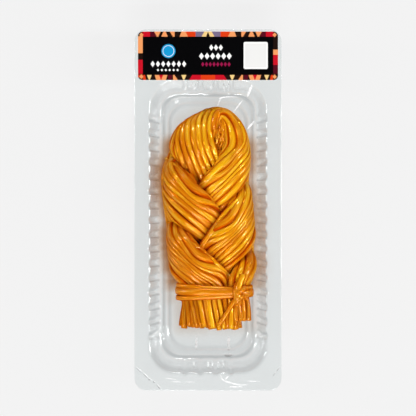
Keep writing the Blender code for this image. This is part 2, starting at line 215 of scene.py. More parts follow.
def run_along(path):
    """How far along a path each of its points is."""
    return np.r_[0, np.cumsum(np.linalg.norm(np.diff(path, axis=0), axis=1))]


def tube_faces(rings, count, start=0):
    """Faces of a closed tube through rings of points, numbered from start."""
    faces = [tuple(range(start, start + count))[::-1]]
    for ring in range(start, start + (rings - 1) * count, count):
        for i in range(count):
            a, b = ring + i, ring + (i + 1) % count
            faces.append((a, b, b + count, a + count))
    last = start + (rings - 1) * count
    return faces + [tuple(range(last, last + count))]


def colour_setting(name, code, description):
    return FloatVectorProperty(
        name=name, description=description, default=paint(code), size=4,
        min=0, max=1, subtype="COLOR",
    )


def length_setting(name, size, description):
    return FloatProperty(
        name=name, description=description, default=size * MM, min=0,
        subtype="DISTANCE", unit="LENGTH", precision=5,
    )


class CheeseSettings(bpy.types.PropertyGroup):
    """Sizes and colours of the cheese's strings."""

    folded_strings: IntProperty(
        name="Folded strand's strings", description="Strings round the folded strand",
        default=18, min=8, max=40,
    )
    third_strings: IntProperty(
        name="Third strand's strings", description="Strings round the third strand",
        default=15, min=8, max=40,
    )
    widest: length_setting("Widest string", 5.6, "The widest that a string is pulled")
    thinnest: length_setting("Thinnest string", 2.2, "The thinnest that a string is pulled")
    core_depth: length_setting("Core depth", 4.0, "How deep the core lies under the skin")
    gold: colour_setting("Gold", "#f9b610", "Where the smoke has browned a string least")
    amber: colour_setting("Amber", "#d87c04", "The usual colour of a smoked string")
    pale: colour_setting("Pale", "#ffcc50", "Streaks that the smoke did not brown")
    # Brown: painted shade down in the grooves between strings.
    brown: colour_setting("Brown", "#b84600", "Down in the grooves between strings")


class PackSettings(bpy.types.PropertyGroup):
    """Sizes and colours of the tray, the film and the label."""

    wall: length_setting("Tray wall", 0.45, "Thickness of the formed sheet")
    rib_width: length_setting("Rib width", 4.2, "How wide a rib in the wall is")
    rib_depth: length_setting("Rib depth", 1.2, "How far a rib stands out of the wall")
    tint: colour_setting("Plastic tint", "#fdfefe", "What one face of the plastic lets through")
    # Plastic edge: also the colour of the painted shade lines along the tray's bends.
    edge: colour_setting("Plastic edge", "#a4a6a8", "What it lets through where it turns away")
    # Cheese's glow: painted reflection and warm shadow of the cheese in the tray.
    glow: colour_setting("Cheese's glow", "#cda070", "What it lets through close to the cheese")


class StageSettings(bpy.types.PropertyGroup):
    """The floor, the light and the camera."""

    floor: colour_setting("Floor", "#545454", "The floor's colour, which its glow brightens")
    glow: FloatProperty(
        name="Floor's glow", description="Light that comes up through the floor",
        default=0.76, min=0,
    )
    height: length_setting("Camera height", 1200, "Camera's height over the flange")
    view_width: length_setting("View width", 254.7, "Width seen at the flange")


def add_node(material, kind, inputs=None, **settings):
    """Adds a shader node with its settings, and fills or links its inputs. A
    node as an input stands for its first output."""
    node = material.node_tree.nodes.new("ShaderNode" + kind)
    for name, value in settings.items():
        setattr(node, name, value)
    for name, value in (inputs or {}).items():
        if isinstance(value, bpy.types.Node):
            value = value.outputs[0]
        if isinstance(value, bpy.types.NodeSocket):
            material.node_tree.links.new(value, node.inputs[name])
        else:
            node.inputs[name].default_value = value
    return node


def maths(material, operation, *values):
    """A sum on values, nodes or sockets."""
    return add_node(material, "Math", dict(enumerate(values)), operation=operation)


def blend(material, share, first, second):
    """A mix of two colours, as a socket to link from."""
    node = add_node(material, "Mix", {
        SHARE: share, FIRST: first, SECOND: second,
    }, data_type="RGBA")
    return node.outputs[MIXED]


def speckle(material, scale, detail=2.0):
    """Noise fixed to the piece, with about so many specks to a metre."""
    place = add_node(material, "TexCoord").outputs["Object"]
    return add_node(material, "TexNoise", {"Vector": place, "Scale": scale, "Detail": detail})


def fact(material, name, output="Fac"):
    """A fact that a piece's points carry."""
    return add_node(material, "Attribute", attribute_name=name).outputs[output]


def new_material(name):
    material = bpy.data.materials.new(name)
    material.use_nodes = True
    material.node_tree.nodes.clear()
    return material


def finish_material(material, shader):
    add_node(material, "OutputMaterial", {"Surface": shader})
    return material


def smoked_cheese(name, cheese):
    """Pulled-curd cheese, browned by cold smoke: waxy, with a fine grain along
    each string, golden where it stands out, and brown down in the grooves
    between strings as painted shade. The tone fact brings painted shade and
    painted highlights by place. The oil makes its crests glossy and its shine
    amber, which a small metallic share stands for."""
    material = new_material(name)
    grain = fact(material, "grain", "Vector")
    tone = fact(material, "tone")
    height = fact(material, "height")
    fibres = add_node(material, "Mapping", {"Vector": grain, "Scale": (1.5, 0.07, 1.0)})
    fibre_noise = add_node(material, "TexNoise", {
        "Vector": fibres, "Scale": 1.0, "Detail": 3.0, "Roughness": 0.6,
    })
    patches = add_node(material, "Mapping", {"Vector": grain, "Scale": (0.12, 0.045, 0.7)})
    patch_noise = add_node(material, "TexNoise", {"Vector": patches, "Scale": 1.0, "Detail": 2.0})
    # The tone fact brings painted shade and painted highlights by place into the smoke share.
    smoke = maths(material, "ADD", patch_noise, tone)
    streaks = maths(material, "MULTIPLY_ADD", fibre_noise, 1.3, smoke)
    smoke_share = add_node(material, "MapRange", {
        "Value": streaks, "From Min": 0.95, "From Max": 1.75,
    })
    skin = blend(material, smoke_share, tuple(cheese.gold), tuple(cheese.amber))
    pale_share = add_node(material, "MapRange", {
        "Value": fibre_noise, "From Min": 0.5, "From Max": 0.3, "To Max": 0.5,
    })
    streaked = blend(material, pale_share, skin, tuple(cheese.pale))
    # Painted shade: each string turns brown towards its low sides, down in the grooves.
    groove = add_node(material, "MapRange", {"Value": height, "From Min": 1.0, "From Max": 0.4})
    colour = blend(material, groove, streaked, tuple(cheese.brown))
    dullness = maths(material, "MULTIPLY_ADD", groove, 0.08, 0.02)
    wax = maths(material, "MULTIPLY_ADD", fibre_noise, 0.26, dullness)
    glaze = add_node(material, "MapRange", {"Value": height, "From Min": 0.75, "To Max": 0.55})
    bump = add_node(material, "Bump", {
        "Height": fibre_noise, "Strength": 0.7, "Distance": 0.3 * MM,
    })
    shader = add_node(material, "BsdfPrincipled", {
        "Base Color": colour,
        "Roughness": wax,
        "Normal": bump,
        "IOR": 1.48,
        "Metallic": 0.14,
        "Specular IOR Level": 0.0,
        "Specular Tint": (1.0, 0.7, 0.2, 1.0),
        "Subsurface Weight": 0.1,
        "Subsurface Radius": (1.0, 0.35, 0.08),
        "Subsurface Scale": 2.0 * MM,
        "Coat Weight": glaze,
        "Coat Roughness": 0.14,
    })
    return finish_material(material, shader)


def cheese_core(name, cheese):
    """The inside of a strand and the plait's heart, seen only between strings: dark brown, as
    painted shade in the gaps.
    """
    material = new_material(name)
    colour = blend(material, speckle(material, 160.0), tuple(cheese.brown), paint("#9a4204"))
    shader = add_node(material, "BsdfPrincipled", {"Base Color": colour, "Roughness": 0.5})
    return finish_material(material, shader)


def clear_plastic(name, pack, roughness, ripple, shininess):
    """Thermoformed clear sheet: see-through and glossy. Faint ripples from the
    forming, given in millimetres, make its reflections wander. It greys where
    it turns away, and painted shade lines darken it along its bends. Close to
    the cheese it carries a painted amber reflection and warm painted shadow of
    the cheese. Shininess is the index that sets how much it reflects."""
    material = new_material(name)
    bump = add_node(material, "Bump", {
        "Height": speckle(material, 70.0), "Strength": 1.0, "Distance": ripple * MM,
    })
    shine = add_node(material, "Fresnel", {"IOR": shininess, "Normal": bump})
    facing = add_node(material, "NewGeometry")
    outer = maths(material, "SUBTRACT", 1.0, facing.outputs["Backfacing"])
    share = maths(material, "MULTIPLY", shine, outer)
    away = add_node(material, "LayerWeight", {"Blend": 0.5})
    edge = add_node(material, "MapRange", {"Value": away.outputs["Facing"], "From Min": 0.76})
    # The grey of the turned-away edge, with painted shade lines from the bend fact.
    grey_and_painted_shade = maths(material, "MAXIMUM", edge, fact(material, "bend"))
    clear = blend(material, grey_and_painted_shade, tuple(pack.tint), tuple(pack.edge))
    # Painted reflection and warm painted shadow of the cheese, from the glow fact.
    tint = blend(material, fact(material, "glow"), clear, tuple(pack.glow))
    through = add_node(material, "BsdfTransparent", {"Color": tint})
    gloss = add_node(material, "BsdfAnisotropic", {
        "Color": (1, 1, 1, 1), "Roughness": roughness, "Normal": bump,
    })
    mix = add_node(material, "MixShader", {0: share, 1: through, 2: gloss})
    return finish_material(material, mix)


def painted_light_sheet(name, colour, share):
    """A milky sheet of the given colour that hides its share of what lies behind
    it: white for painted highlights, dark grey for painted shade. The milk is
    uneven along a crease."""
    material = new_material(name)
    milkiness = add_node(material, "MapRange", {
        "Value": speckle(material, 500.0), "From Min": 0.3, "From Max": 0.6,
        "To Min": share * 0.35, "To Max": share,
    })
    through = add_node(material, "BsdfTransparent")
    milk = add_node(material, "BsdfPrincipled", {"Base Color": paint(colour), "Roughness": 0.25})
    mix = add_node(material, "MixShader", {0: milkiness, 1: through, 2: milk})
    return finish_material(material, mix)


def printed_paper(name, colour):
    """Satin-varnished label paper, with the faint tooth of its fibres."""
    material = new_material(name)
    tooth = speckle(material, 1500.0, detail=1.0)
    bump = add_node(material, "Bump", {"Height": tooth, "Strength": 0.15, "Distance": 0.05 * MM})
    varnish = add_node(material, "MapRange", {"Value": tooth, "To Min": 0.32, "To Max": 0.5})
    shader = add_node(material, "BsdfPrincipled", {
        "Base Color": tuple(colour), "Roughness": varnish,
        "Normal": bump, "Specular IOR Level": 0.06,
    })
    return finish_material(material, shader)


def floor_acrylic(stage):
    """Frosted acrylic of a light table: matt, and lit from below."""
    material = new_material("frosted_light_table")
    bump = add_node(material, "Bump", {
        "Height": speckle(material, 400.0), "Strength": 0.05, "Distance": 0.1 * MM,
    })
    shader = add_node(material, "BsdfPrincipled", {
        "Base Color": tuple(stage.floor), "Roughness": 0.9, "Normal": bump,
        "Specular IOR Level": 0.2, "Emission Color": (1, 1, 1, 1),
        "Emission Strength": stage.glow,
    })
    return finish_material(material, shader)


def add_piece(name, points, faces, materials, node=None, slots=None, facts=None):
    """A smooth-shaded piece made from points in millimetres. Facts are values
    for its points, which its material reads by name."""
    data = bpy.data.meshes.new(name)
    data.from_pydata((np.asarray(points) * MM).tolist(), [], faces)
    for material in materials:
        data.materials.append(material)
    if slots is not None:
        data.polygons.foreach_set("material_index", slots)
    for label, values in (facts or {}).items():
        values = np.asarray(values, np.float32)
        kind, key = ("FLOAT_VECTOR", "vector") if values.ndim == 2 else ("FLOAT", "value")
        attribute = data.attributes.new(label, kind, "POINT")
        attribute.data.foreach_set(key, values.ravel())
    data.shade_smooth()
    piece = bpy.data.objects.new(name, data)
    bpy.context.scene.collection.objects.link(piece)
    if node:
        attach(piece, BODY)
        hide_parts(node)
    return piece


def axis_x(y):
    """The middle of the braid at a place along it."""
    return AXIS_TOP[0] + (AXIS_TOP[1] - y) * AXIS_SLOPE


def smooth_rows(controls, step):
    """Rows read along a smooth curve through the control rows, a step apart
    where the curve is straight and closer where it bends."""
    rows = np.array(controls, float)
    ends = 2 * rows[:1] - rows[1:2], 2 * rows[-1:] - rows[-2:-1]
    p = np.vstack([ends[0], rows, ends[1]])
    fine = []
    for i in range(1, len(p) - 2):
        for t in np.linspace(0, 1, 24, endpoint=False):
            pull = p[i + 1] - p[i - 1]
            bend = 2 * p[i - 1] - 5 * p[i] + 4 * p[i + 1] - p[i + 2]
            twist = 3 * (p[i] - p[i + 1]) + p[i + 2] - p[i - 1]
            fine.append(p[i] + (pull * t + bend * t ** 2 + twist * t ** 3) / 2)
    fine = np.array(fine + [rows[-1]])
    turns = run_along(unit(np.diff(fine[:, :3], axis=0)))
    run = run_along(fine[:, :3]) + BEND_PULL * np.r_[0, turns]
    places = np.linspace(0, run[-1], round(run[-1] / step) + 1)
    columns = [np.interp(places, run, fine[:, k]) for k in range(fine.shape[1])]
    return np.column_stack(columns)


def plait_row(y, phase, widths):
    """A leg's place, half sizes and roll in the plait."""
    turn = math.tau * (PLAIT_TOP - y) / PLAIT_PITCH + phase
    x = axis_x(y) + PLAIT_SWING * math.cos(turn)
    z = BRAID_MIDDLE + PLAIT_LIFT * math.sin(2 * turn + LIFT_LEAD)
    places, sizes = zip(*widths[::-1])
    width = np.interp(y, places, sizes)
    depth = min(max(LEG_SECTION / width, LEG_THINNEST), LEG_THICKEST)
    roll = 90 * (1 - math.sin(turn))
    return (x, y, z, width, depth, roll)


def leg_rows(phase, widths, tail_place, tail_roll):
    """A leg from the top of the plait to its cut end."""
    count = round((PLAIT_TOP - PLAIT_END) / PLAIT_STEP) + 1
    rows = [plait_row(y, phase, widths) for y in np.linspace(PLAIT_TOP, PLAIT_END, count)]
    for y in (TAIL_TOP, TAIL_END):
        x = axis_x(TAIL_TOP) + tail_place * TAIL_PITCH
        rows.append((x, y, BRAID_MIDDLE - 0.5, TAIL_WIDTH, TAIL_DEPTH, tail_roll))
    return rows


def oblong_norm(*parts, power=SQUARENESS):
    """The size of a vector, by which 1 is an ellipse with full corners."""
    return sum(np.abs(part) ** power for part in parts) ** (1 / power)


def blurred(table, reach, around):
    """A table of rings smoothed along the strand, and round it where it says."""
    marks = np.arange(-3 * reach, 3 * reach + 1)
    weights = np.exp(-0.5 * (marks / reach) ** 2)
    weights /= weights.sum()
    if around:
        return sum(w * np.roll(table, int(m), axis=1) for m, w in zip(marks, weights))
    padded = np.pad(table, ((len(marks) // 2,) * 2, (0, 0)), mode="edge")
    return sum(w * padded[k:k + len(table)] for k, w in enumerate(weights))


def node_tree(node):
    """A CAD node's skin, for rays in millimetres."""
    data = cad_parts[node].data
    points = [vert.co / MM for vert in data.vertices]
    return BVHTree.FromPolygons(points, [face.vertices[:] for face in data.polygons])


class Strand:
    """A strand's rings, and how far its solid goes from the middle of each."""

    def __init__(self, controls, node):
        rows = smooth_rows(controls, RING_STEP)
        self.place = rows[:, :3]
        along = unit(np.gradient(self.place, axis=0))
        for _ in range(RING_EASING):
            along[1:-1] += (along[:-2] + along[2:]) / 2
            along = unit(along)
        level = unit(np.cross(along, UPWARD))
        upper = np.cross(level, along)
        cos = np.cos(np.radians(rows[:, 5]))[:, None]
        sin = np.sin(np.radians(rows[:, 5]))[:, None]
        self.along = along
        self.wide_way = cos * level + sin * upper
        self.deep_way = cos * upper - sin * level
        self.count = len(rows)
        turn = np.linspace(0, math.tau, 361)
        self.angle = np.empty((self.count, ROUND_STEPS + 1))
        for k, (width, depth) in enumerate(rows[:, 3:5]):
            skin = 1 / oblong_norm(np.cos(turn) / width, np.sin(turn) / depth)
            outline = np.column_stack([np.cos(turn), np.sin(turn)]) * skin[:, None]
            run = run_along(outline)
            self.angle[k] = np.interp(np.linspace(0, run[-1], ROUND_STEPS + 1), run, turn)
        self.reach = self.measured_reach(rows, node)

    def measured_reach(self, rows, node):
        """Rays from the middle of each ring find the skin of the CAD solid."""
        tree = node_tree(node)
        reach = np.empty((self.count, ROUND_STEPS))
        for k in range(self.count):
            start = Vector(self.place[k])
            for m in range(ROUND_STEPS):
                angle = self.angle[k, m]
                cos, sin = math.cos(angle), math.sin(angle)
                way = Vector(cos * self.wide_way[k] + sin * self.deep_way[k])
                limit = 1 / oblong_norm(cos / rows[k, 3], sin / rows[k, 4])
                hit = tree.ray_cast(start, way, float(limit) * 1.1)
                reach[k, m] = hit[3] if hit[3] is not None else limit
        ahead, behind = slice(1, None), slice(None, -1)
        outs = (np.cos(self.angle[:, :-1, None]) * self.wide_way[:, None]
                + np.sin(self.angle[:, :-1, None]) * self.deep_way[:, None])
        for here, there in ((behind, ahead), (ahead, behind)):
            apart = ((self.place[there] - self.place[here]) * self.along[there]).sum(axis=1)
            closing = (outs[here] * self.along[there][:, None]).sum(axis=2)
            room = apart[:, None] / closing * 0.9
            reach[here] = np.where(room > 0, np.minimum(reach[here], room), reach[here])
        return blurred(blurred(reach, 1.4, False), 1.2, True)

    def skin(self, shares, sink):
        """Points at shares of the way round, one for each ring, sunk under
        the strand's skin."""
        place = np.mod(shares, 1) * ROUND_STEPS
        low = np.floor(place).astype(int) % ROUND_STEPS
        part = place - np.floor(place)
        rings = np.arange(self.count)
        reach = (self.reach[rings, low] * (1 - part)
                 + self.reach[rings, (low + 1) % ROUND_STEPS] * part) - sink
        angle = self.angle[rings, low] * (1 - part) + self.angle[rings, low + 1] * part
        out = (np.cos(angle)[:, None] * self.wide_way
               + np.sin(angle)[:, None] * self.deep_way)
        return self.place + out * reach[:, None]


def strand_routes():
    """The control rows of both strands."""
    left = leg_rows(LEFT_PHASE, LEFT_WIDTHS, -1, 180)
    right = leg_rows(RIGHT_PHASE, RIGHT_WIDTHS, 0, 180)
    third = leg_rows(THIRD_PHASE, THIRD_WIDTHS, 1, 90)
    back = [(*row[:5], 180 - row[5]) for row in left[::-1]]
    return {
        FOLDED: back + list(FOLD) + right,
        THIRD: list(THIRD_START) + third,
    }


def gentle_waves(rng, count, step):
    """Random waves along a string, within one of nought."""
    knots = rng.uniform(-1, 1, count // step + 3)
    shares = np.arange(count) / step
    low = shares.astype(int)
    part = shares - low
    part = part * part * (3 - 2 * part)
    return knots[low] * (1 - part) + knots[low + 1] * part


def painted_light_by_place(path):
    """How much browner a path is, as painted light by place: painted shade below the fold, most
    on the lower left and at the neck, and painted highlights near some strand ends, on top.
    """
    x, y, z = path.T
    # Painted shade: darker below the fold, and most on the lower left and lower down.
    lower = ramp(y, 38, 24) * (0.12 + 0.28 * ramp(x, 6, -10) + 0.14 * ramp(y, -12, -20))
    # Painted shade on the neck, fading along the tails.
    painted_neck_shade = 0.36 * ramp(y, -44, -48) * np.maximum(ramp(y, -60, -57), 0.3)
    away = np.min([np.hypot(x - place[0], y - place[1]) for place in PAINTED_HIGHLIGHT_PLACES], axis=0)
    # Painted highlight: paler near those strand ends, on their tops.
    painted_highlight = 0.45 * hill(away, PAINTED_HIGHLIGHT_REACH) * (z > BRAID_MIDDLE)
    return 0.12 + np.maximum(lower, painted_neck_shade) - painted_highlight


class StringBundle:
    """Points, faces and facts of strings that go into one piece."""

    def __init__(self):
        self.points, self.faces = [], []
        self.facts = {"grain": [], "tone": [], "height": []}
        self.total = 0

    def add(self, path, side, half_width, half_depth, tone, mark, sunk=1.0):
        """A string along a path. Side is the way that its width lies, for each
        point or for all. Sunk is how much of it lies in grooves, which its
        material browns as painted shade."""
        path = path.copy()
        path[:, 2] = np.minimum(path[:, 2], FILM_LOW - 0.15 - half_depth)
        along = np.gradient(path, axis=0)
        up = unit(np.cross(along, side))
        side = unit(np.cross(up, along))
        turn = np.linspace(0, math.tau, STRING_SIDES, endpoint=False)
        full = 1 / oblong_norm(np.cos(turn), np.sin(turn))
        across = np.cos(turn) * full
        height = np.sin(turn) * full
        half_width = half_width * np.ones(len(path))
        half_depth = half_depth * np.ones(len(path))
        rings = (path[:, None]
                 + side[:, None] * (half_width[:, None] * across)[..., None]
                 + up[:, None] * (half_depth[:, None] * height)[..., None])
        count = len(path)
        self.points.append(rings.reshape(-1, 3))
        grain = np.empty((count, STRING_SIDES, 3))
        grain[..., 0] = half_width[:, None] * across + mark * 9.7
        grain[..., 1] = run_along(path)[:, None] + mark * 31.0
        grain[..., 2] = mark
        self.facts["grain"].append(grain.reshape(-1, 3))
        # The tone fact adds painted shade and painted highlights by place to the string's own
        # tone.
        self.facts["tone"].append(np.repeat(tone + painted_light_by_place(path), STRING_SIDES))
        self.facts["height"].append(np.tile(1 - sunk * (1 - height), count))
        self.faces += tube_faces(count, STRING_SIDES, self.total)
        self.total += count * STRING_SIDES

    def piece(self, name, material, node, slot):
        facts = {key: np.concatenate(parts) for key, parts in self.facts.items()}
        points = np.concatenate(self.points)
        return add_piece(name, points, self.faces, [material], node, facts=facts)


def pressed_in(path):
    """How far the strings on top of the fold press the others in."""
    x, y, z = path.T
    across = (path[:, :2] - FOLD_EDGE[0]) @ np.array(FOLD_EDGE[1])
    share = ramp(across, 0, 2) * ramp(x, 9.5, 7) * ramp(x, -21, -18) * ramp(y, 14, 16)
    dent = hill(np.hypot(x - EYE_DENT[0], (y - EYE_DENT[1]) / 1.6), 5.5)
    return np.maximum(1.7 * share, 1.3 * dent) * (z > BRAID_MIDDLE)


def lay_strings(bundle, strand, count, seed, cheese, deeper, pressed):
    """Strings side by side round a strand. Some were pulled thicker, some lie
    deeper, and their edges wander."""
    rng = np.random.default_rng(seed)
    widths = 1 + WIDTH_VARIETY * rng.uniform(-1, 1, count)
    edges = np.r_[0, np.cumsum(widths) / widths.sum()]
    wander = [gentle_waves(rng, strand.count, 16) * EDGE_WANDER / count for _ in range(count)]
    wander.append(wander[0])
    for j in range(count):
        low = edges[j] + wander[j]
        high = edges[j + 1] + wander[j + 1]
        side = strand.skin(high, deeper) - strand.skin(low, deeper)
        room = np.linalg.norm(side, axis=1)
        limits = cheese.thinnest / MM / 2, cheese.widest / MM / 2
        half_width = np.clip(room * SHARE_OF_ROOM, *limits)
        half_width = blurred(half_width[:, None], 1.5, False)[:, 0]
        half_depth = np.clip(half_width * FLATNESS, *HALF_DEPTHS)
        dip = SLOW_DIP * gentle_waves(rng, strand.count, 11) + rng.uniform(-WHOLE_DIP, WHOLE_DIP)
        path = strand.skin((low + high) / 2, half_depth * 0.9 + deeper + dip - BULGE)
        if pressed:
            path[:, 2] -= pressed_in(path)
        path = blurred(path, 1, False)
        kept = path[:, 1] > FRINGE_TOP - UNDER_TIE
        tone = rng.uniform(*TONES)
        bundle.add(path[kept], side[kept], half_width[kept], half_depth[kept], tone, seed + j)


def add_fringe(bundles):
    """The cut ends below the tie: straight strings in rows, fanned a little.
    The upper rows lean in from the left."""
    rng = np.random.default_rng(21)
    for row, level in enumerate(np.linspace(-1, 1, FRINGE_ROWS)):
        half = FRINGE_HALF * (1 - abs(level) ** 3 * 0.35)
        count = round(2 * half / FRINGE_PITCH)
        for j in range(count):
            across = 2 * (j + rng.uniform(0.35, 0.65)) / count - 1
            lean = (3.4 - 4.6 * across) * ramp(row, 2, 5)
            start = np.array((4.6 + across * (half - 0.8), FRINGE_TOP, 15.7 + 8.3 * level))
            end = np.array((4.4 + across * (half + 1.2) + lean + rng.uniform(-0.8, 0.8),
                            TAIL_END + 0.4 + (4.2 if across > 0.72 else rng.uniform(-1.3, 1.2)),
                            14.7 + 9.6 * level + rng.uniform(-1.2, 0.8)))
            shares = np.linspace(0, 1, 11)
            path = start + (end - start) * shares[:, None]
            path[:, 0] += 0.35 * np.sin(shares * 5 + j)
            path[:, 2] += 1.1 * np.sin(shares * math.pi) * (row - 3) / 3
            width = rng.uniform(1.3, 1.8)
            node = FOLDED if end[0] < 12 else THIRD
            # Painted shade: rows under the top row are browner where they lie beneath it.
            tone = rng.uniform(-0.35, 0.4) + 0.3 * (row < FRINGE_ROWS - 1)
            mark = 500 + 20 * row + j
            bundles[node].add(path, ACROSS, width, width * 0.92, tone, mark, sunk=0.7)


def add_core(name, strand, node, material, depth):
    """The smaller core of a strand, under its strings."""
    picks = [k for k in range(0, strand.count, 2) if strand.place[k, 1] > FRINGE_TOP - UNDER_TIE]
    shares = np.arange(0, ROUND_STEPS, 3) / ROUND_STEPS
    rings = np.stack([strand.skin(np.full(strand.count, s), depth) for s in shares], axis=1)
    points = rings[picks].reshape(-1, 3)
    faces = [face[::-1] for face in tube_faces(len(picks), len(shares))]
    return add_piece(name, points, faces, [material], node)


def add_heart(name, material):
    """Cheese along the middle of the plait, so that no floor shows between
    the strands where they cross."""
    (upper, lower), (half_x, half_z) = HEART_ENDS, HEART_HALVES
    ys = np.linspace(upper, lower, 34)
    turns = np.linspace(0, math.tau, 24, endpoint=False)
    reach = (upper - lower + 1) / 2
    swell = np.sqrt(np.clip(1 - ((ys - (upper + lower) / 2) / reach) ** 6, 0, 1))
    points = [
        (axis_x(y) + half_x * s * math.cos(t), y, HEART_HEIGHT + half_z * s * math.sin(t))
        for y, s in zip(ys, swell) for t in turns
    ]
    faces = tube_faces(len(ys), len(turns))
    return add_piece(name, points, faces, [material], THIRD)


# Strings that lie on top: which strand, half width, tone, then places seen
# from above. They run beside the eye of the fold, or along a strand's edge.
TOP_STRINGS = (
    (FOLDED, 1.8, 0.5, (9.6, 60.8), (6.2, 60.0), (4.2, 56.8), (3.5, 52.3), (4.1, 46.3),
     (5.6, 40.2), (7.8, 34.6), (9.7, 30.6)),
    (FOLDED, 1.85, -0.3, (6.6, 61.7), (3.6, 60.4), (1.4, 56.2), (0.6, 50.8), (1.3, 44.8),
     (3.0, 38.7), (5.2, 32.7), (7.9, 27.2)),
    (FOLDED, 1.95, 0.0, (3.4, 62.0), (0.4, 60.4), (-1.8, 56.0), (-2.6, 50.0), (-2.1, 44.0),
     (-0.6, 38.0), (1.8, 32.0), (5.6, 24.4)),
    (FOLDED, 1.95, -0.15, (0.2, 61.6), (-3.0, 59.9), (-5.4, 56.0), (-6.0, 50.0), (-5.4, 43.2),
     (-3.6, 36.0), (-1.0, 29.6), (2.6, 21.6)),
    (FOLDED, 1.95, 0.2, (-3.0, 60.4), (-6.4, 58.2), (-8.8, 54.6), (-9.3, 49.3), (-8.5, 41.7),
     (-6.3, 34.2), (-3.4, 27.2), (0.2, 19.2)),
    (FOLDED, 1.95, 0.05, (-6.6, 58.6), (-9.8, 56.4), (-12.2, 52.6), (-12.7, 47.0), (-11.8, 40.2),
     (-9.4, 32.7), (-6.4, 25.4), (-2.4, 17.0)),
    (FOLDED, 1.95, 0.25, (-9.6, 56.6), (-12.8, 54.2), (-15.2, 50.4), (-15.8, 45.2), (-14.8, 38.6),
     (-12.4, 31.2), (-9.2, 23.7), (-5.0, 15.4)),
    (FOLDED, 1.85, 0.1, (-12.6, 54.0), (-15.8, 51.4), (-18.2, 47.6), (-18.9, 42.8), (-18.0, 36.8),
     (-15.6, 30.2), (-12.2, 23.2), (-8.0, 15.8)),
    (FOLDED, 2.35, -0.2, (16.2, 56.0), (20.6, 49.4), (21.7, 42.9), (18.4, 37.3), (12.9, 31.8),
     (6.7, 26.3), (0.6, 20.2), (-4.0, 15.4)),
    (THIRD, 1.15, -0.1, (-26.0, 32.0), (-19.0, 26.3), (-12.2, 19.8), (-5.5, 13.2), (1.8, 7.0),
     (8.0, 1.4), (13.2, -2.8)),
    (FOLDED, 2.2, -0.15, (25.0, 13.4), (21.2, 8.8), (15.9, 3.1), (11.0, -2.4), (6.1, -8.6),
     (1.2, -15.3), (-3.1, -21.4), (-5.2, -25.0)),
    (FOLDED, 1.6, 0.0, (-22.6, -13.0), (-15.9, -17.1), (-8.0, -22.0), (-0.6, -27.5), (6.1, -33.7),
     (12.2, -39.8), (15.6, -44.0)),
    (THIRD, 1.6, 0.1, (26.6, -31.0), (24.4, -35.2), (21.4, -39.8), (18.2, -44.4)),
)
# Strings along the left side, and one in a gap at the right, with their heights.
SIDE_STRINGS = (
    ((-20.5, 34.0, 12.0), (-25.0, 29.5, 14.0), (-27.0, 22.0, 15.5), (-26.8, 13.0, 15.8),
     (-25.7, 4.0, 15.2), (-23.4, -4.5, 13.8), (-19.5, -11.5, 12.0), (-13.0, -17.0, 10.5)),
    ((-18.0, 33.0, 15.0), (-23.4, 28.6, 18.2), (-25.6, 21.0, 19.6), (-25.2, 12.0, 19.4),
     (-23.6, 3.0, 18.8), (-20.4, -5.5, 17.2), (-15.5, -12.0, 14.8), (-9.5, -16.5, 12.0)),
    ((-20.0, 33.0, 8.0), (-24.4, 28.0, 10.2), (-26.2, 20.0, 10.8), (-25.8, 11.0, 10.8),
     (-24.6, 2.5, 10.4), (-22.0, -5.5, 9.6), (-17.6, -13.0, 8.6), (-11.0, -19.0, 8.0)),
    ((-19.0, -4.0, 12.0), (-22.6, -9.5, 13.6), (-23.8, -16.0, 14.6), (-23.7, -23.0, 14.8),
     (-22.8, -30.0, 14.6), (-20.8, -37.0, 14.2), (-18.0, -43.0, 13.6), (-15.0, -47.5, 13.0)),
    ((21.4, 13.4, 12.6), (18.6, 10.6, 17.8), (15.0, 7.1, 20.9), (11.0, 3.3, 21.8),
     (7.4, -0.8, 19.8), (4.6, -4.4, 15.0)),
)
# The ends of the strings on top dive this deep, in these shares of their length.
DIVE = 5.0
DIVE_SHARES = (0.045, 0.035)
PATH_STEP = 1.6
# The strings along both flanks: their heights, and how far in they lie.
FLANK_STRINGS = ((11.4, 0.2), (7.8, 0.5), (4.4, 1.6))
# How far out the braid's flanks are, left and right, down its length.
FLANKS = (
    (44.0, -19.0, 21.0), (36.0, -22.5, 24.6), (28.0, -24.8, 25.0), (18.0, -26.9, 23.9),
    (8.0, -26.8, 25.2), (-2.0, -25.6, 26.8), (-12.0, -24.2, 27.6), (-22.0, -23.6, 27.0),
    (-32.0, -22.4, 27.4), (-40.0, -20.2, 26.2), (-46.0, -16.5, 24.0),
)


def drape(controls, trees, lift):
    """A path over the tops of the strands, which lies lift above them."""
    rows = smooth_rows(controls, PATH_STEP)
    tops = np.empty(len(rows))
    for k, (x, y) in enumerate(rows):
        hits = [tree.ray_cast(Vector((x, y, 60)), Vector((0, 0, -1))) for tree in trees]
        tops[k] = max([hit[0].z for hit in hits if hit[0] is not None], default=16.0)
    return np.column_stack([rows, blurred(tops[:, None], 2, False)[:, 0] + lift])


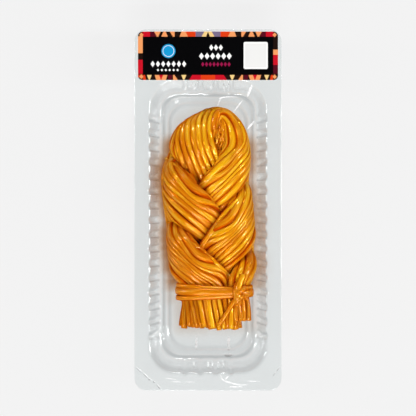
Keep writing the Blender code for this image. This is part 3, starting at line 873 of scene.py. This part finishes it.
def lay_top_strings(bundles, trees):
    """The strings on top, whose ends dive under the next strand."""
    for j, (node, half_width, tone, *places) in enumerate(TOP_STRINGS):
        path = drape(places, trees, -0.15 * half_width)
        shares = np.linspace(0, 1, len(path))
        first, last = DIVE_SHARES
        path[:, 2] -= DIVE * (np.exp(-shares / first) + np.exp((shares - 1) / last))
        side = np.cross(UPWARD, np.gradient(path, axis=0))
        width = half_width * (1 + 0.12 * np.sin(shares * 9 + j))
        depth = np.minimum(width * 0.8, 1.5)
        bundles[node].add(path, side, width, depth, tone, 200 + j)
    for j, (z, inset) in enumerate(FLANK_STRINGS):
        for way, column in ((1, 1), (-1, 2)):
            controls = [(row[column] + way * inset, row[0], z) for row in FLANKS]
            path = smooth_rows(controls, PATH_STEP)
            path[:, 2] += 0.5 * np.sin(path[:, 1] / 7 + j * 2)
            mark = 260 + 2 * j + column
            bundles[THIRD].add(path, (0.3, 0, way), 2.0, 1.7, 0.0, mark, sunk=0.5)
    for j, controls in enumerate(SIDE_STRINGS):
        path = smooth_rows(controls, PATH_STEP)
        bundles[THIRD].add(path, (0.75, 0, 0.65), 2.1, 1.7, 0.1 * j - 0.1, 230 + j)


class CHEESE_OT_strands(bpy.types.Operator):
    """Pull the strings of both strands, and lay them over their cores"""

    bl_idname = "cheese.strands"
    bl_label = "Braid the strands"

    def execute(self, context):
        cheese = context.scene.cheese
        skin = smoked_cheese("cold_smoked_pulled_cheese", cheese)
        inside = cheese_core("painted_shade_cheese_core", cheese)
        counts = {
            FOLDED: cheese.folded_strings,
            THIRD: cheese.third_strings,
        }
        bundles = {node: StringBundle() for node in counts}
        for seed, (node, controls) in enumerate(strand_routes().items()):
            strand = Strand(controls, node)
            folded = node == FOLDED
            bundle, count = bundles[node], counts[node]
            lay_strings(bundle, strand, count, 40 + 100 * seed, cheese, 0.0, folded)
            lay_strings(bundle, strand, count - SECOND_LAYER_FEWER, 90 + 100 * seed, cheese,
                        SECOND_LAYER_DEPTH, folded)
            add_core(node + "_core", strand, node, inside, cheese.core_depth / MM)
        lay_top_strings(bundles, [node_tree(node) for node in bundles])
        pinch_the_fold(bundles[FOLDED])
        add_fringe(bundles)
        for node, bundle in bundles.items():
            bundle.piece(node + "_strings", skin, node, "smoked_cheese")
        # The heart wears the dark core material: painted shade where the strands cross.
        add_heart("braid_heart", inside)
        return {"FINISHED"}


def pinch_the_fold(bundle):
    """Thin strings caught and crumpled in the eye of the fold."""
    rng = np.random.default_rng(7)
    for j in range(-2, 9):
        shares = np.linspace(0, 1, 30)
        x = 6.6 + 0.62 * j + 2.6 * shares * (1 - shares) - 1.2 * shares
        y = 58.6 - 0.3 * abs(j - 4) - 21.0 * shares
        z = 21.0 - 0.45 * abs(j - 4) + 2.2 * np.sin(shares * math.pi)
        x += 0.75 * gentle_waves(rng, 30, 4)
        z += 0.9 * gentle_waves(rng, 30, 3)
        path = np.column_stack([x, y, z])
        width = 0.85 + 0.25 * gentle_waves(rng, 30, 5)
        bundle.add(path, ACROSS, width, 0.75, rng.uniform(0.2, 0.6), 300 + j, sunk=0.8)


# The tie's turns: how far out they lie, their places along the braid at the
# left, at the knot and at the right, half width and half depth.
TIE_TURNS = (
    (1.5, (4.1, 1.5, 3.0), 1.5, 1.25),
    (1.9, (0.6, 0.0, -0.4), 2.7, 1.4),
    (1.6, (-3.7, -1.9, -1.6), 1.7, 1.3),
)
# The knot's strings: half width, half depth, then places from its middle. They
# are the upper and the lower end, the upright loop and its crossing wraps.
KNOT_STRINGS = (
    (2.0, 1.5, (-0.6, -0.6, -0.4), (0.2, 2.6, 0.9), (1.2, 6.4, 0.6), (2.4, 9.2, 0.0),
     (3.0, 11.4, -0.6)),
    (1.45, 1.25, (-0.6, -2.2, 0.2), (-2.2, -4.6, 0.9), (-5.2, -9.4, 0.6), (-8.2, -14.2, 0.2),
     (-11.4, -18.9, -0.2)),
    (2.6, 1.6, (0.2, 5.6, -4.4), (0.1, 4.9, -1.4), (-0.5, 2.6, 0.8), (-0.7, -0.4, 1.3),
     (-0.3, -3.2, 1.1), (-0.1, -5.6, -0.6), (-0.1, -6.2, -3.4)),
    (1.9, 1.2, (4.2, 3.4, -2.0), (2.6, 2.2, 0.5), (0.2, 0.4, 1.9), (-2.4, -1.0, 0.9),
     (-4.4, -1.8, -2.0)),
    (1.7, 1.2, (2.8, -0.6, -1.4), (1.9, -2.2, 0.9), (0.1, -4.0, 1.6), (-1.6, -5.4, 0.4),
     (-1.9, -6.4, -2.0)),
)
TURN_STEPS = 90
# The neck is pulled in at both sides where the tie grips it.
TIE_GRIP = 1.2


def tie_turn(clear, places):
    """A turn of the tie round the neck, which starts at its upper right."""
    left, right, low, high = TIE_NECK
    half_x = (right - left) / 2 + clear - TIE_GRIP
    half_z = (high - low) / 2 + clear
    turns = np.linspace(0.6, 0.6 + math.tau, TURN_STEPS)
    way = np.column_stack([np.cos(turns), np.sin(turns)])
    way /= oblong_norm(way[:, 0], way[:, 1], power=NECK_SQUARENESS)[:, None]
    x = (left + right) / 2 + way[:, 0] * half_x
    z = (low + high) / 2 + way[:, 1] * half_z
    y = TIE_MIDDLE + np.interp(x, (left, KNOT[0], right), places)
    return np.column_stack([x, y, z])


class CHEESE_OT_tie(bpy.types.Operator):
    """Wind the string round the neck of the braid, and knot it"""

    bl_idname = "cheese.tie"
    bl_label = "Tie the neck"

    def execute(self, context):
        cheese = context.scene.cheese
        skin = smoked_cheese("cold_smoked_tie_string", cheese)
        bundle = StringBundle()
        rng = np.random.default_rng(5)
        for j, (clear, places, half_width, half_depth) in enumerate(TIE_TURNS):
            path = tie_turn(clear, places)
            path[:, 1] += 0.25 * gentle_waves(rng, TURN_STEPS, 12)
            width = half_width * (1 + 0.14 * gentle_waves(rng, TURN_STEPS, 14))
            tone = 0.15 + 0.12 * j
            bundle.add(path, (0, -1, 0), width, half_depth, tone, 400 + j, sunk=0.75)
        for j, (half_width, half_depth, *places) in enumerate(KNOT_STRINGS):
            path = smooth_rows(np.add(places, KNOT), 0.7)
            level = np.cross(UPWARD, np.gradient(path, axis=0))
            bundle.add(path, level, half_width, half_depth, 0.2 + 0.1 * j, 420 + j, sunk=0.75)
        bundle.piece("wound_tie", skin, "tie_string", "smoked_cheese")
        return {"FINISHED"}


def corner_run(half_x, half_y, corner, start_x, start_y, count):
    """Points from the right side round the upper right corner."""
    x0, y0 = half_x - corner, half_y - corner
    turns = np.linspace(0, math.pi / 2, 24)
    arc = np.column_stack([x0 + corner * np.cos(turns), y0 + corner * np.sin(turns)])
    path = np.vstack([(half_x, start_y), arc, (start_x, half_y)])
    run = run_along(path)
    places = np.linspace(0, run[-1], count)
    return np.column_stack([np.interp(places, run, path[:, k]) for k in (0, 1)])


def rib_bumps(places, ribs, width):
    """How far a wall stands out at each place along it, where 1 is a rib's
    top. Between ribs it's flat."""
    away = np.abs(places[:, None] - np.asarray(ribs)).min(axis=1) / (width / 2)
    return np.where(away < 1, np.cos(away * math.pi / 2) ** 1.2, 0)


def tray_ring(half_x, half_y, corner, z, bump, rib_width, straight, ribs):
    """Points round one level of the tray, anticlockwise."""
    reach_x, reach_y = min(straight[0], half_x - corner), min(straight[1], half_y - corner)
    side_ribs, end_ribs = ribs
    ys = np.linspace(-reach_y, reach_y, 241)[1:-1]
    xs = np.linspace(-reach_x, reach_x, 41)[1:-1]
    right = np.column_stack([half_x + bump * rib_bumps(ys, side_ribs, rib_width), ys])
    top = np.column_stack([-xs, half_y + bump * rib_bumps(-xs, end_ribs, rib_width)])
    left = np.column_stack([-half_x - bump * rib_bumps(-ys, side_ribs, rib_width), -ys])
    low = np.column_stack([xs, -half_y - bump * rib_bumps(xs, end_ribs, rib_width)])
    corners = corner_run(half_x, half_y, corner, reach_x, reach_y, 16)
    turned = corners[::-1] * (-1, 1)
    ring = np.vstack([right, corners, top, turned, left, -corners, low, -turned])
    return np.column_stack([ring, np.full(len(ring), z)])


def cavity_levels(rib_depth):
    """The cavity's profile, from the flange to its middle: how far in from the
    mouth, how high, its corner, and how far ribs stand out there."""
    quarter = math.pi / 2
    # Ribs rise out of the flange just outside the mouth.
    levels = [(inset, TRAY_DEPTH, MOUTH_CORNER + 0.6, bump * rib_depth)
              for inset, bump in ((-2.6, 0), (-2.1, 0), (-1.1, 0.8), (-0.5, 1))]
    # The mouth's rounding, and the wall under it.
    for turn in np.linspace(0, quarter, 6):
        levels.append((1.2 - 1.3 * (1 - math.sin(turn)),
                       TRAY_DEPTH - 1.3 * (1 - math.cos(turn)), MOUTH_CORNER, rib_depth))
    for share in np.linspace(0.12, 1, 8):
        levels.append((1.2 + 3.8 * share, 28.7 - 23.7 * share,
                       MOUTH_CORNER + (BASE_CORNER - MOUTH_CORNER) * share, rib_depth))
    # The rounding into the floor's ledge, where the ribs end.
    for turn in np.linspace(0.25, quarter, 6):
        levels.append((5.0 + 3.0 * (1 - math.cos(turn)), 2.0 + 3.0 * (1 - math.sin(turn)),
                       BASE_CORNER, rib_depth * (1 - turn / quarter)))
    # The ledge, the step down from it, and the panel inside.
    for inset, z in ((8.2, 1.98), (8.4, 1.8), (8.5, 1.5), (8.7, 1.4), (10.2, 1.4), (10.7, 1.3),
                     (11.2, 1.05), (11.6, 0.8), (12.0, 0.65), (12.4, 0.6)):
        levels.append((inset, z, BASE_CORNER, 0))
    return levels + [(inset, 0.6, 10.0, 0) for inset in (14.0, 16.0, 18.0, 20.5, 24.0)]


def bends(points, insets, ribs):
    """Painted shade lines in the sheet: how much it darkens what lies under it
    round the mouth and the floor's steps, and at both edges of each rib."""
    def line(place, width):
        return hill(insets - place, width)

    y = points[:, 1] - CAVITY_SHIFT
    end = ramp(np.abs(y), 62, 80)
    sides = 0.26 * line(8.6, 0.7) + 0.2 * line(12.2, 0.9) + 0.05 * line(3.5, 1.5)
    ends = (0.33 * line(1.9, 1.5) * (y < 0) + 0.1 * line(4.8, 1.0) + 0.28 * line(7.4, 0.9)
            + 0.08 * line(11.0, 1.6))
    away = (y[:, None] - np.asarray(ribs)) / 2.3
    # Painted shade at both edges of each rib.
    notches = 0.5 * hill(away + 1, 0.3) + 0.3 * hill(away - 1, 0.3)
    wall = ramp(insets, 0, 0.8) * ramp(insets, 6.5, 5)
    return np.clip((1 - end) * sides + end * ends + wall * notches.max(axis=1) * (1 - end), 0, 1)


def painted_cheese_reflection_and_shadow(points):
    """Painted reflection and warm painted shadow of the cheese: how strongly it
    shows in the plastic at each point. It fades a few millimetres away from the
    cheese, and past the ends of the braid."""
    trees = [node_tree(node) for node in (FOLDED, THIRD, "tie_string")]
    away = []
    for x, y, z in points:
        places = Vector((x, y, z)), Vector((x, y, BRAID_MIDDLE))
        away.append(min(tree.find_nearest(place)[3] for tree in trees for place in places))
    x, y, z = points.T
    beside = np.maximum(ramp(y, -54, -44), 0.2) * np.maximum(ramp(y, 50, 41), 0.12)
    return np.where(x < 0, *PAINTED_REFLECTION_AND_SHADE_MOST) * hill(np.array(away), PAINTED_REFLECTION_AND_SHADE_REACH) * beside


class PACK_OT_tray(bpy.types.Operator):
    """Form the clear tray, with its flange, ribs and ringed floor"""

    bl_idname = "pack.tray"
    bl_label = "Form the tray"

    def execute(self, context):
        pack = context.scene.pack
        rib_width, rib_depth = pack.rib_width / MM, pack.rib_depth / MM
        first = SIDE_RIB_TOP - CAVITY_SHIFT
        ribs = ([first - SIDE_RIB_PITCH * k for k in range(SIDE_RIBS)],
                [END_RIB_PITCH * (k - (END_RIBS - 1) / 2) for k in range(END_RIBS)])
        half_x, half_y = MOUTH_SIZE[0] / 2, MOUTH_SIZE[1] / 2
        pack_x, pack_y = PACK_SIZE[0] / 2, PACK_SIZE[1] / 2
        rings, insets = [], []
        for inset in (0.0, 0.3, 3.0):
            insets.append(FLANGE_INSET)
            rings.append(tray_ring(pack_x - inset, pack_y - inset, PACK_CORNER - inset,
                                   TRAY_DEPTH, 0, rib_width, FLANGE_STRAIGHT, ribs))
        for inset, z, corner, bump in cavity_levels(rib_depth):
            end_inset = inset * (END_SLOPE if inset > 0 else 1)
            ring = tray_ring(half_x - inset, half_y - end_inset, corner, z, bump,
                             rib_width, CAVITY_STRAIGHT, ribs)
            ring[:, 1] += CAVITY_SHIFT
            insets.append(inset)
            rings.append(ring)
        points = np.vstack(rings)
        # Without its first face, the tube is open where the flange ends.
        faces = tube_faces(len(rings), len(rings[0]))[1:]
        clear = clear_plastic("thermoformed_clear_sheet", pack, roughness=0.16, ripple=0.12,
                              shininess=1.8)
        tray = add_piece("formed_tray", points, faces, [clear], "tray",
                         facts={
                             # Painted reflection and warm painted shadow of the cheese.
                             "glow": painted_cheese_reflection_and_shadow(points),
                             # Painted shade lines along the bends.
                             "bend": bends(points, np.repeat(insets, len(rings[0])), ribs[0]),
                         })
        solid = tray.modifiers.new("wall", "SOLIDIFY")
        solid.thickness = pack.wall
        solid.offset = -1
        # Painted highlights: white streaks on the tray's floor and end walls.
        marks = Prints()
        for width, start, end, height in PAINTED_HIGHLIGHT_STREAKS:
            marks.add(leaf((start, end), width), height, height + 0.05, 0)
        white = painted_light_sheet("tray_highlight_sheet", "#ffffff", share=0.8)
        marks.piece("tray_painted_highlights", [white], "tray", "clear_tray")
        return {"FINISHED"}


def rounded_rectangle(width, length, corner, steps=8):
    """Points of a rounded rectangle round nought, anticlockwise."""
    points = []
    for q in range(4):
        middle = ((width / 2 - corner) * (1 if q in (0, 3) else -1),
                  (length / 2 - corner) * (1 if q in (0, 1) else -1))
        for step in range(steps):
            angle = (q + step / (steps - 1)) * math.pi / 2
            points.append((middle[0] + corner * math.cos(angle),
                           middle[1] + corner * math.sin(angle)))
    return np.array(points)


class Prints:
    """Thin flat shapes with upright edges, each with its own material."""

    def __init__(self):
        self.points, self.faces, self.slots = [], [], []

    def add(self, outline, low, high, slot):
        count = len(outline)
        self.faces += tube_faces(2, count, len(self.points))
        self.points += [(x, y, z) for z in (low, high) for x, y in outline]
        self.slots += [slot] * (count + 2)

    def piece(self, name, materials, node, slot):
        piece = add_piece(name, self.points, self.faces, materials, node, self.slots)
        piece.data.set_sharp_from_angle(angle=math.radians(30))
        return piece


def leaf(points, width):
    """The outline of a crease: widest in its middle, pointed at its ends."""
    rows = smooth_rows(points, 0.8) if len(points) > 2 else np.linspace(*map(np.array, points), 9)
    along = unit(np.gradient(rows, axis=0))
    across = np.column_stack([-along[:, 1], along[:, 0]])
    half = width / 2 * np.sin(np.linspace(0.12, math.pi - 0.12, len(rows)))[:, None] ** 0.6
    return np.vstack([rows - across * half, (rows + across * half)[::-1]])


# Creases where the film is drawn tight over the cavity, drawn as white lines of painted
# highlight: width, then places.
CREASES = (
    (0.8, (5.9, 63.8), (7.3, 67.4), (8.0, 68.6), (13.4, 69.3), (18.6, 69.0)),
    (0.7, (21.0, 67.0), (15.4, 59.6)),
    (1.5, (27.0, 76.6), (24.0, 69.2)),
    (1.1, (28.6, 54.6), (24.0, 49.4)),
    (1.4, (-20.4, 65.4), (-18.0, 66.8)),
    (0.7, (-34.2, 57.0), (-31.6, 55.2)),
    (0.6, (-35.2, -77.4), (-29.8, -73.8)),
    (0.7, (7.2, -100.6), (9.4, -104.2), (13.4, -105.6), (18.8, -107.0), (25.2, -107.0)),
    (0.7, (12.8, -101.3), (10.4, -103.9)),
    (0.8, (12.4, -108.2), (21.6, -108.3)),
    (0.5, (24.0, -104.8), (31.8, -104.9)),
    (0.5, (-21.8, -105.0), (-16.4, -105.2)),
    (0.5, (-13.8, -105.4), (-8.0, -105.2)),
    (0.5, (-25.8, -102.8), (-19.2, -103.9)),
)
# How far the film's face and its marks lie under the top of its solid.
FILM_DROPS = (0.06, 0.02)
# Where the film was notched to peel: a broken line at two corners, drawn as dark dashes of
# painted shade, each with a painted highlight beside it.
PEEL_MARKS = (
    ((-44.0, -96.7), (-40.4, -99.8)), ((-39.8, -100.3), (-37.2, -102.6)),
    ((-36.6, -103.4), (-35.2, -104.3)), ((-33.8, -105.0), (-32.6, -105.8)),
    ((-31.6, -107.2), (-29.2, -109.6)), ((41.8, -98.8), (43.8, -96.8)),
    ((40.0, -101.4), (41.2, -99.8)),
)
# Painted highlights in the tray: white streaks on its floor and end walls, standing in for
# reflections of the lamps: width, places, height.
PAINTED_HIGHLIGHT_STREAKS = (
    (2.2, (13.0, -79.6), (12.9, -88.2), 0.8), (2.6, (10.2, -91.0), (15.4, -91.0), 1.6),
    (1.5, (-7.2, -79.6), (-7.4, -87.6), 0.8),
    (1.2, (-8.8, -94.2), (-8.8, -98.6), 12.0), (1.2, (0.2, -93.9), (0.0, -98.8), 12.0),
    (0.9, (2.6, -93.8), (3.0, -98.2), 12.0), (1.2, (6.6, -94.0), (6.0, -98.8), 12.0),
    (1.2, (9.2, -93.8), (10.2, -99.0), 12.0),
    (1.2, (-13.0, 77.8), (-14.4, 74.0), 16.0), (1.2, (-7.4, 78.2), (-8.8, 74.2), 16.0),
    (1.5, (1.6, 78.0), (2.0, 74.6), 16.0), (1.2, (9.6, 78.4), (10.2, 73.4), 16.0),
    (1.0, (12.8, 78.2), (12.6, 74.0), 16.0),
)


class PACK_OT_film(bpy.types.Operator):
    """Seal the clear film over the tray, with the creases that it has"""

    bl_idname = "pack.film"
    bl_label = "Seal the film"

    def execute(self, context):
        pack = context.scene.pack
        looks = [
            clear_plastic("sealed_clear_film", pack, roughness=0.05, ripple=0.06, shininess=1.45),
            painted_light_sheet("film_crease_highlight", "#f4f4f4", share=0.75),
            painted_light_sheet("peel_notch_shade", "#5a5a5c", share=0.55),
        ]
        prints = Prints()
        face, mark = (FILM_HIGH - drop for drop in FILM_DROPS)
        prints.add(rounded_rectangle(*PACK_SIZE, PACK_CORNER), FILM_LOW, face, 0)
        for width, *places in CREASES:
            # Each crease is a white painted highlight.
            prints.add(leaf(places, width), face, mark, 1)
        for places in PEEL_MARKS:
            # Painted shade in the notch, and a painted highlight just beside it.
            prints.add(leaf(places, 0.45), face, mark, 2)
            prints.add(leaf(np.add(places, 0.5), 0.6), face, mark, 1)
        prints.piece("sealed_film", looks, "lid_film", "clear_film")
        return {"FINISHED"}


INKS = {
    "paper": "#e2e2e0", "black": "#010102", "dark": "#1a0d08", "peach": "#d88c56",
    "cream": "#d8b878", "red": "#b40f20", "flame": "#c63610", "maroon": "#4c0818",
    "violet": "#6a5f78", "sky": "#1288bc", "wine": "#8a1240", "field": "#d3d3d1",
}
# The border's stepped blocks, mirrored about the middle: the ink, then where
# the block starts and ends along the border's inner edge and its outer edge.
TOP_BORDER = (
    ("cream", (0.0, 4.0), (0.0, 2.2)), ("dark", (0.0, 1.2), (0.0, 0.0)),
    ("violet", (4.0, 7.6), (2.2, 7.6)), ("flame", (7.6, 12.2), (7.6, 13.8)),
    ("peach", (12.2, 17.4), (13.8, 16.2)), ("peach", (20.4, 21.4), (20.4, 23.4)),
    ("peach", (24.6, 28.6), (26.0, 27.2)), ("peach", (30.4, 31.2), (29.0, 33.0)),
    ("maroon", (31.2, 35.4), (33.0, 35.4)), ("red", (35.4, 40.0), (35.4, 40.0)),
)
LOW_BORDER = (
    ("red", (0.0, 9.6), (0.0, 11.6)), ("flame", (0.0, 4.4), (0.0, 4.4)),
    ("cream", (13.2, 16.4), (14.6, 15.0)), ("peach", (20.6, 21.4), (18.4, 21.4)),
    ("maroon", (21.9, 24.4), (21.9, 24.4)), ("peach", (24.8, 32.6), (25.8, 31.6)),
    ("red", (27.4, 30.0), (28.6, 28.8)), ("cream", (34.4, 37.4), (35.7, 36.1)),
    ("flame", (38.6, 39.8), (37.8, 39.8)),
)
LEFT_BORDER = (("peach", 1.6, 12.0), ("red", -11.6, -2.4), ("flame", -13.2, -11.0))
RIGHT_BORDER = (("peach", 0.6, 3.8), ("red", -5.6, 0.6), ("maroon", -11.0, -5.6))
BORDER_STEPS = 4
# Blocks that lie over the one before them.
OVERLAID = (1, 6)
# The black panel's half sizes, how far the print ends from the paper's edge,
# how far the paper lies under the top of the layers of ink, and a layer's depth.
PANEL_HALVES = (39.9, 11.7)
PRINT_MARGIN = 0.15
PAPER_DROP = 0.14
INK_DEPTH = 0.02
# The bare field for a date at the right, and the round seal at the left.
DATE_FIELD = (((14.8, 16.6), 1.0, "paper"), ((12.8, 14.6), 0.5, "field"))
DATE_FIELD_PLACE = (29.2, 0.2)
SEAL = ((4.3, "sky"), (3.5, "paper"), (3.2, "sky"))
SEAL_PLACE = (-24.2, 2.9)
# Rows of diamonds in the words' place: how many, where the first one is, their
# pitch, half width and half height, and the ink.
DIAMOND_ROWS = (
    (7, -33.8, -5.0, 3.2, 1.25, 1.9, "paper"), (6, -30.6, -8.7, 2.4, 0.8, 0.8, "paper"),
    (3, 2.0, 5.0, 2.9, 1.3, 1.9, "paper"), (6, -4.0, -0.2, 3.4, 1.5, 2.1, "paper"),
    (8, -3.2, -5.2, 2.3, 0.95, 1.5, "wine"),
)


def diamond(x, y, half_width, half_height):
    return [(x - half_width, y), (x, y - half_height), (x + half_width, y), (x, y + half_height)]


def rectangle(left, right, low, high):
    return [(left, low), (right, low), (right, high), (left, high)]


class PACK_OT_label(bpy.types.Operator):
    """Print the header label, with its stepped border, and stick it on the film"""

    bl_idname = "pack.label"
    bl_label = "Stick the label on"

    def execute(self, context):
        low_corner, high_corner = (np.array(corner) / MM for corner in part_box("label"))
        width, length = (high_corner - low_corner)[:2]
        middle = (high_corner + low_corner)[:2] / 2
        low, high = low_corner[2], high_corner[2] - PAPER_DROP
        slots = {ink: place for place, ink in enumerate(INKS)}
        prints = Prints()
        half_x, half_y = width / 2 - PRINT_MARGIN, length / 2 - PRINT_MARGIN
        inner_x, inner_y = PANEL_HALVES

        def lay(outline, ink, level):
            """Prints a shape on the given layer of ink."""
            base = high + INK_DEPTH * level
            prints.add(np.add(outline, middle), base, base + INK_DEPTH, slots[ink])

        prints.add(rounded_rectangle(width, length, 3.2) + middle, low, high, slots["paper"])
        lay(rounded_rectangle(2 * half_x, 2 * half_y, 2.8), "dark", 0)
        for way, blocks in ((1, TOP_BORDER), (-1, LOW_BORDER)):
            step = (half_y - inner_y) / BORDER_STEPS
            for place, (ink, inner, outer) in enumerate(blocks):
                for k in range(BORDER_STEPS):
                    share = (k + 0.5) / BORDER_STEPS
                    start, end = (a + (b - a) * share for a, b in zip(inner, outer))
                    sides = ((start, end), (-end, -start)) if start > 0 else ((-end, end),)
                    rows = sorted((way * (inner_y + step * k), way * (inner_y + step * (k + 1))))
                    for left, right in sides:
                        lay(rectangle(left, right, *rows), ink, 1 + (place in OVERLAID))
        for way, blocks in ((-1, LEFT_BORDER), (1, RIGHT_BORDER)):
            across = sorted((way * inner_x, way * half_x))
            for ink, start, end in blocks:
                lay(rectangle(*across, start, end), ink, 1)
        for x, y in ((-1, 1), (1, 1), (1, -1), (-1, -1)):
            lay(diamond(x * 40.8, y * 12.8, 1.3, 1.5), "peach", 2)
        lay(rounded_rectangle(2 * inner_x, 2 * inner_y, 0.6), "black", 3)
        for level, (size, corner, ink) in enumerate(DATE_FIELD):
            lay(rounded_rectangle(*size, corner) + DATE_FIELD_PLACE, ink, 4 + level)
        for level, (radius, ink) in enumerate(SEAL):
            lay(rounded_rectangle(2 * radius, 2 * radius, radius - 0.01) + SEAL_PLACE, ink,
                4 + level)
        for count, x, y, pitch, half_width, half_height, ink in DIAMOND_ROWS:
            for j in range(count):
                lay(diamond(x + pitch * j, y, half_width, half_height), ink, 4)
        inks = [printed_paper(ink + "_ink", paint(code)) for ink, code in INKS.items()]
        prints.piece("header_label", inks, "label", "printed_label")
        return {"FINISHED"}


# The lamps: name, place, size and power in watts.
LAMPS = (
    ("key", (300, -1600, 2500), (1800, 450), 46.0),
    ("low_front", (-200, -2600, 1500), (1600, 300), 34.0),
    ("strip_left", (-2200, 300, 1500), (400, 1400), 30.0),
    ("strip_right", (2300, 0, 1700), (400, 1400), 46.0),
    ("back", (0, 2400, 1900), (900, 250), 36.0),
)
FLOOR_REACH = 4000
CAMERA_PLACE = (0, 1.2)


class STAGE_OT_studio(bpy.types.Operator):
    """Lay the pale floor, and set the lights and the camera"""

    bl_idname = "stage.studio"
    bl_label = "Set the studio"

    def execute(self, context):
        stage = context.scene.stage
        scene = context.scene
        corners = [(x * FLOOR_REACH, y * FLOOR_REACH, 0)
                   for x, y in ((-1, -1), (1, -1), (1, 1), (-1, 1))]
        floor = add_piece("studio_floor", corners, [(0, 1, 2, 3)], [floor_acrylic(stage)])
        world = bpy.data.worlds.new("soft_studio")
        world.use_nodes = True
        world.node_tree.nodes.clear()
        place = add_node(world, "TexCoord")
        parts = add_node(world, "SeparateXYZ", {0: place})
        rise = add_node(world, "MapRange", {
            "Value": parts.outputs["Z"], "From Min": 0.2, "From Max": 0.95,
            "To Min": 0.07, "To Max": 0.01,
        })
        sky = add_node(world, "Background", {"Color": (1, 1, 1, 1), "Strength": rise})
        add_node(world, "OutputWorld", {"Surface": sky})
        scene.world = world
        for name, place, size, power in LAMPS:
            light = bpy.data.lights.new(name, "AREA")
            light.shape = "RECTANGLE"
            light.size, light.size_y = size[0] * MM, size[1] * MM
            light.energy = power
            lamp = bpy.data.objects.new(name, light)
            lamp.location = Vector(place) * MM
            lamp.rotation_euler = (-lamp.location).to_track_quat("-Z", "Y").to_euler()
            scene.collection.objects.link(lamp)
        camera = bpy.data.cameras.new("camera")
        camera.lens = camera.sensor_width * stage.height / stage.view_width
        camera.clip_end = 20
        eye = bpy.data.objects.new("camera", camera)
        eye.location = Vector((*CAMERA_PLACE, TRAY_DEPTH)) * MM + Vector((0, 0, stage.height))
        scene.collection.objects.link(eye)
        scene.camera = eye
        scene.view_settings.view_transform = "Standard"
        return {"FINISHED"}


class CHEESE_PT_panel(bpy.types.Panel):
    """The pieces of the pack, in the order they are made"""

    bl_idname = "CHEESE_PT_panel"
    bl_label = "Braided string cheese"
    bl_space_type = "VIEW_3D"
    bl_region_type = "UI"
    bl_category = "Cheese"

    def draw(self, context):
        for settings in (context.scene.cheese, context.scene.pack, context.scene.stage):
            for name in settings.__annotations__:
                self.layout.prop(settings, name)
        for step in STEPS:
            self.layout.operator(step.bl_idname)


STEPS = (CHEESE_OT_strands, CHEESE_OT_tie, PACK_OT_tray, PACK_OT_film, PACK_OT_label,
         STAGE_OT_studio)
SETTINGS = {"cheese": CheeseSettings, "pack": PackSettings, "stage": StageSettings}


def register():
    for kind in (*SETTINGS.values(), *STEPS, CHEESE_PT_panel):
        bpy.utils.register_class(kind)
    for name, kind in SETTINGS.items():
        setattr(bpy.types.Scene, name, PointerProperty(type=kind))


def unregister():
    for name in SETTINGS:
        delattr(bpy.types.Scene, name)
    for kind in reversed((*SETTINGS.values(), *STEPS, CHEESE_PT_panel)):
        bpy.utils.unregister_class(kind)


def main():
    register()
    bpy.ops.cheese.strands()
    bpy.ops.cheese.tie()
    bpy.ops.pack.tray()
    bpy.ops.pack.film()
    bpy.ops.pack.label()
    bpy.ops.stage.studio()


if __name__ == "__main__":
    main()
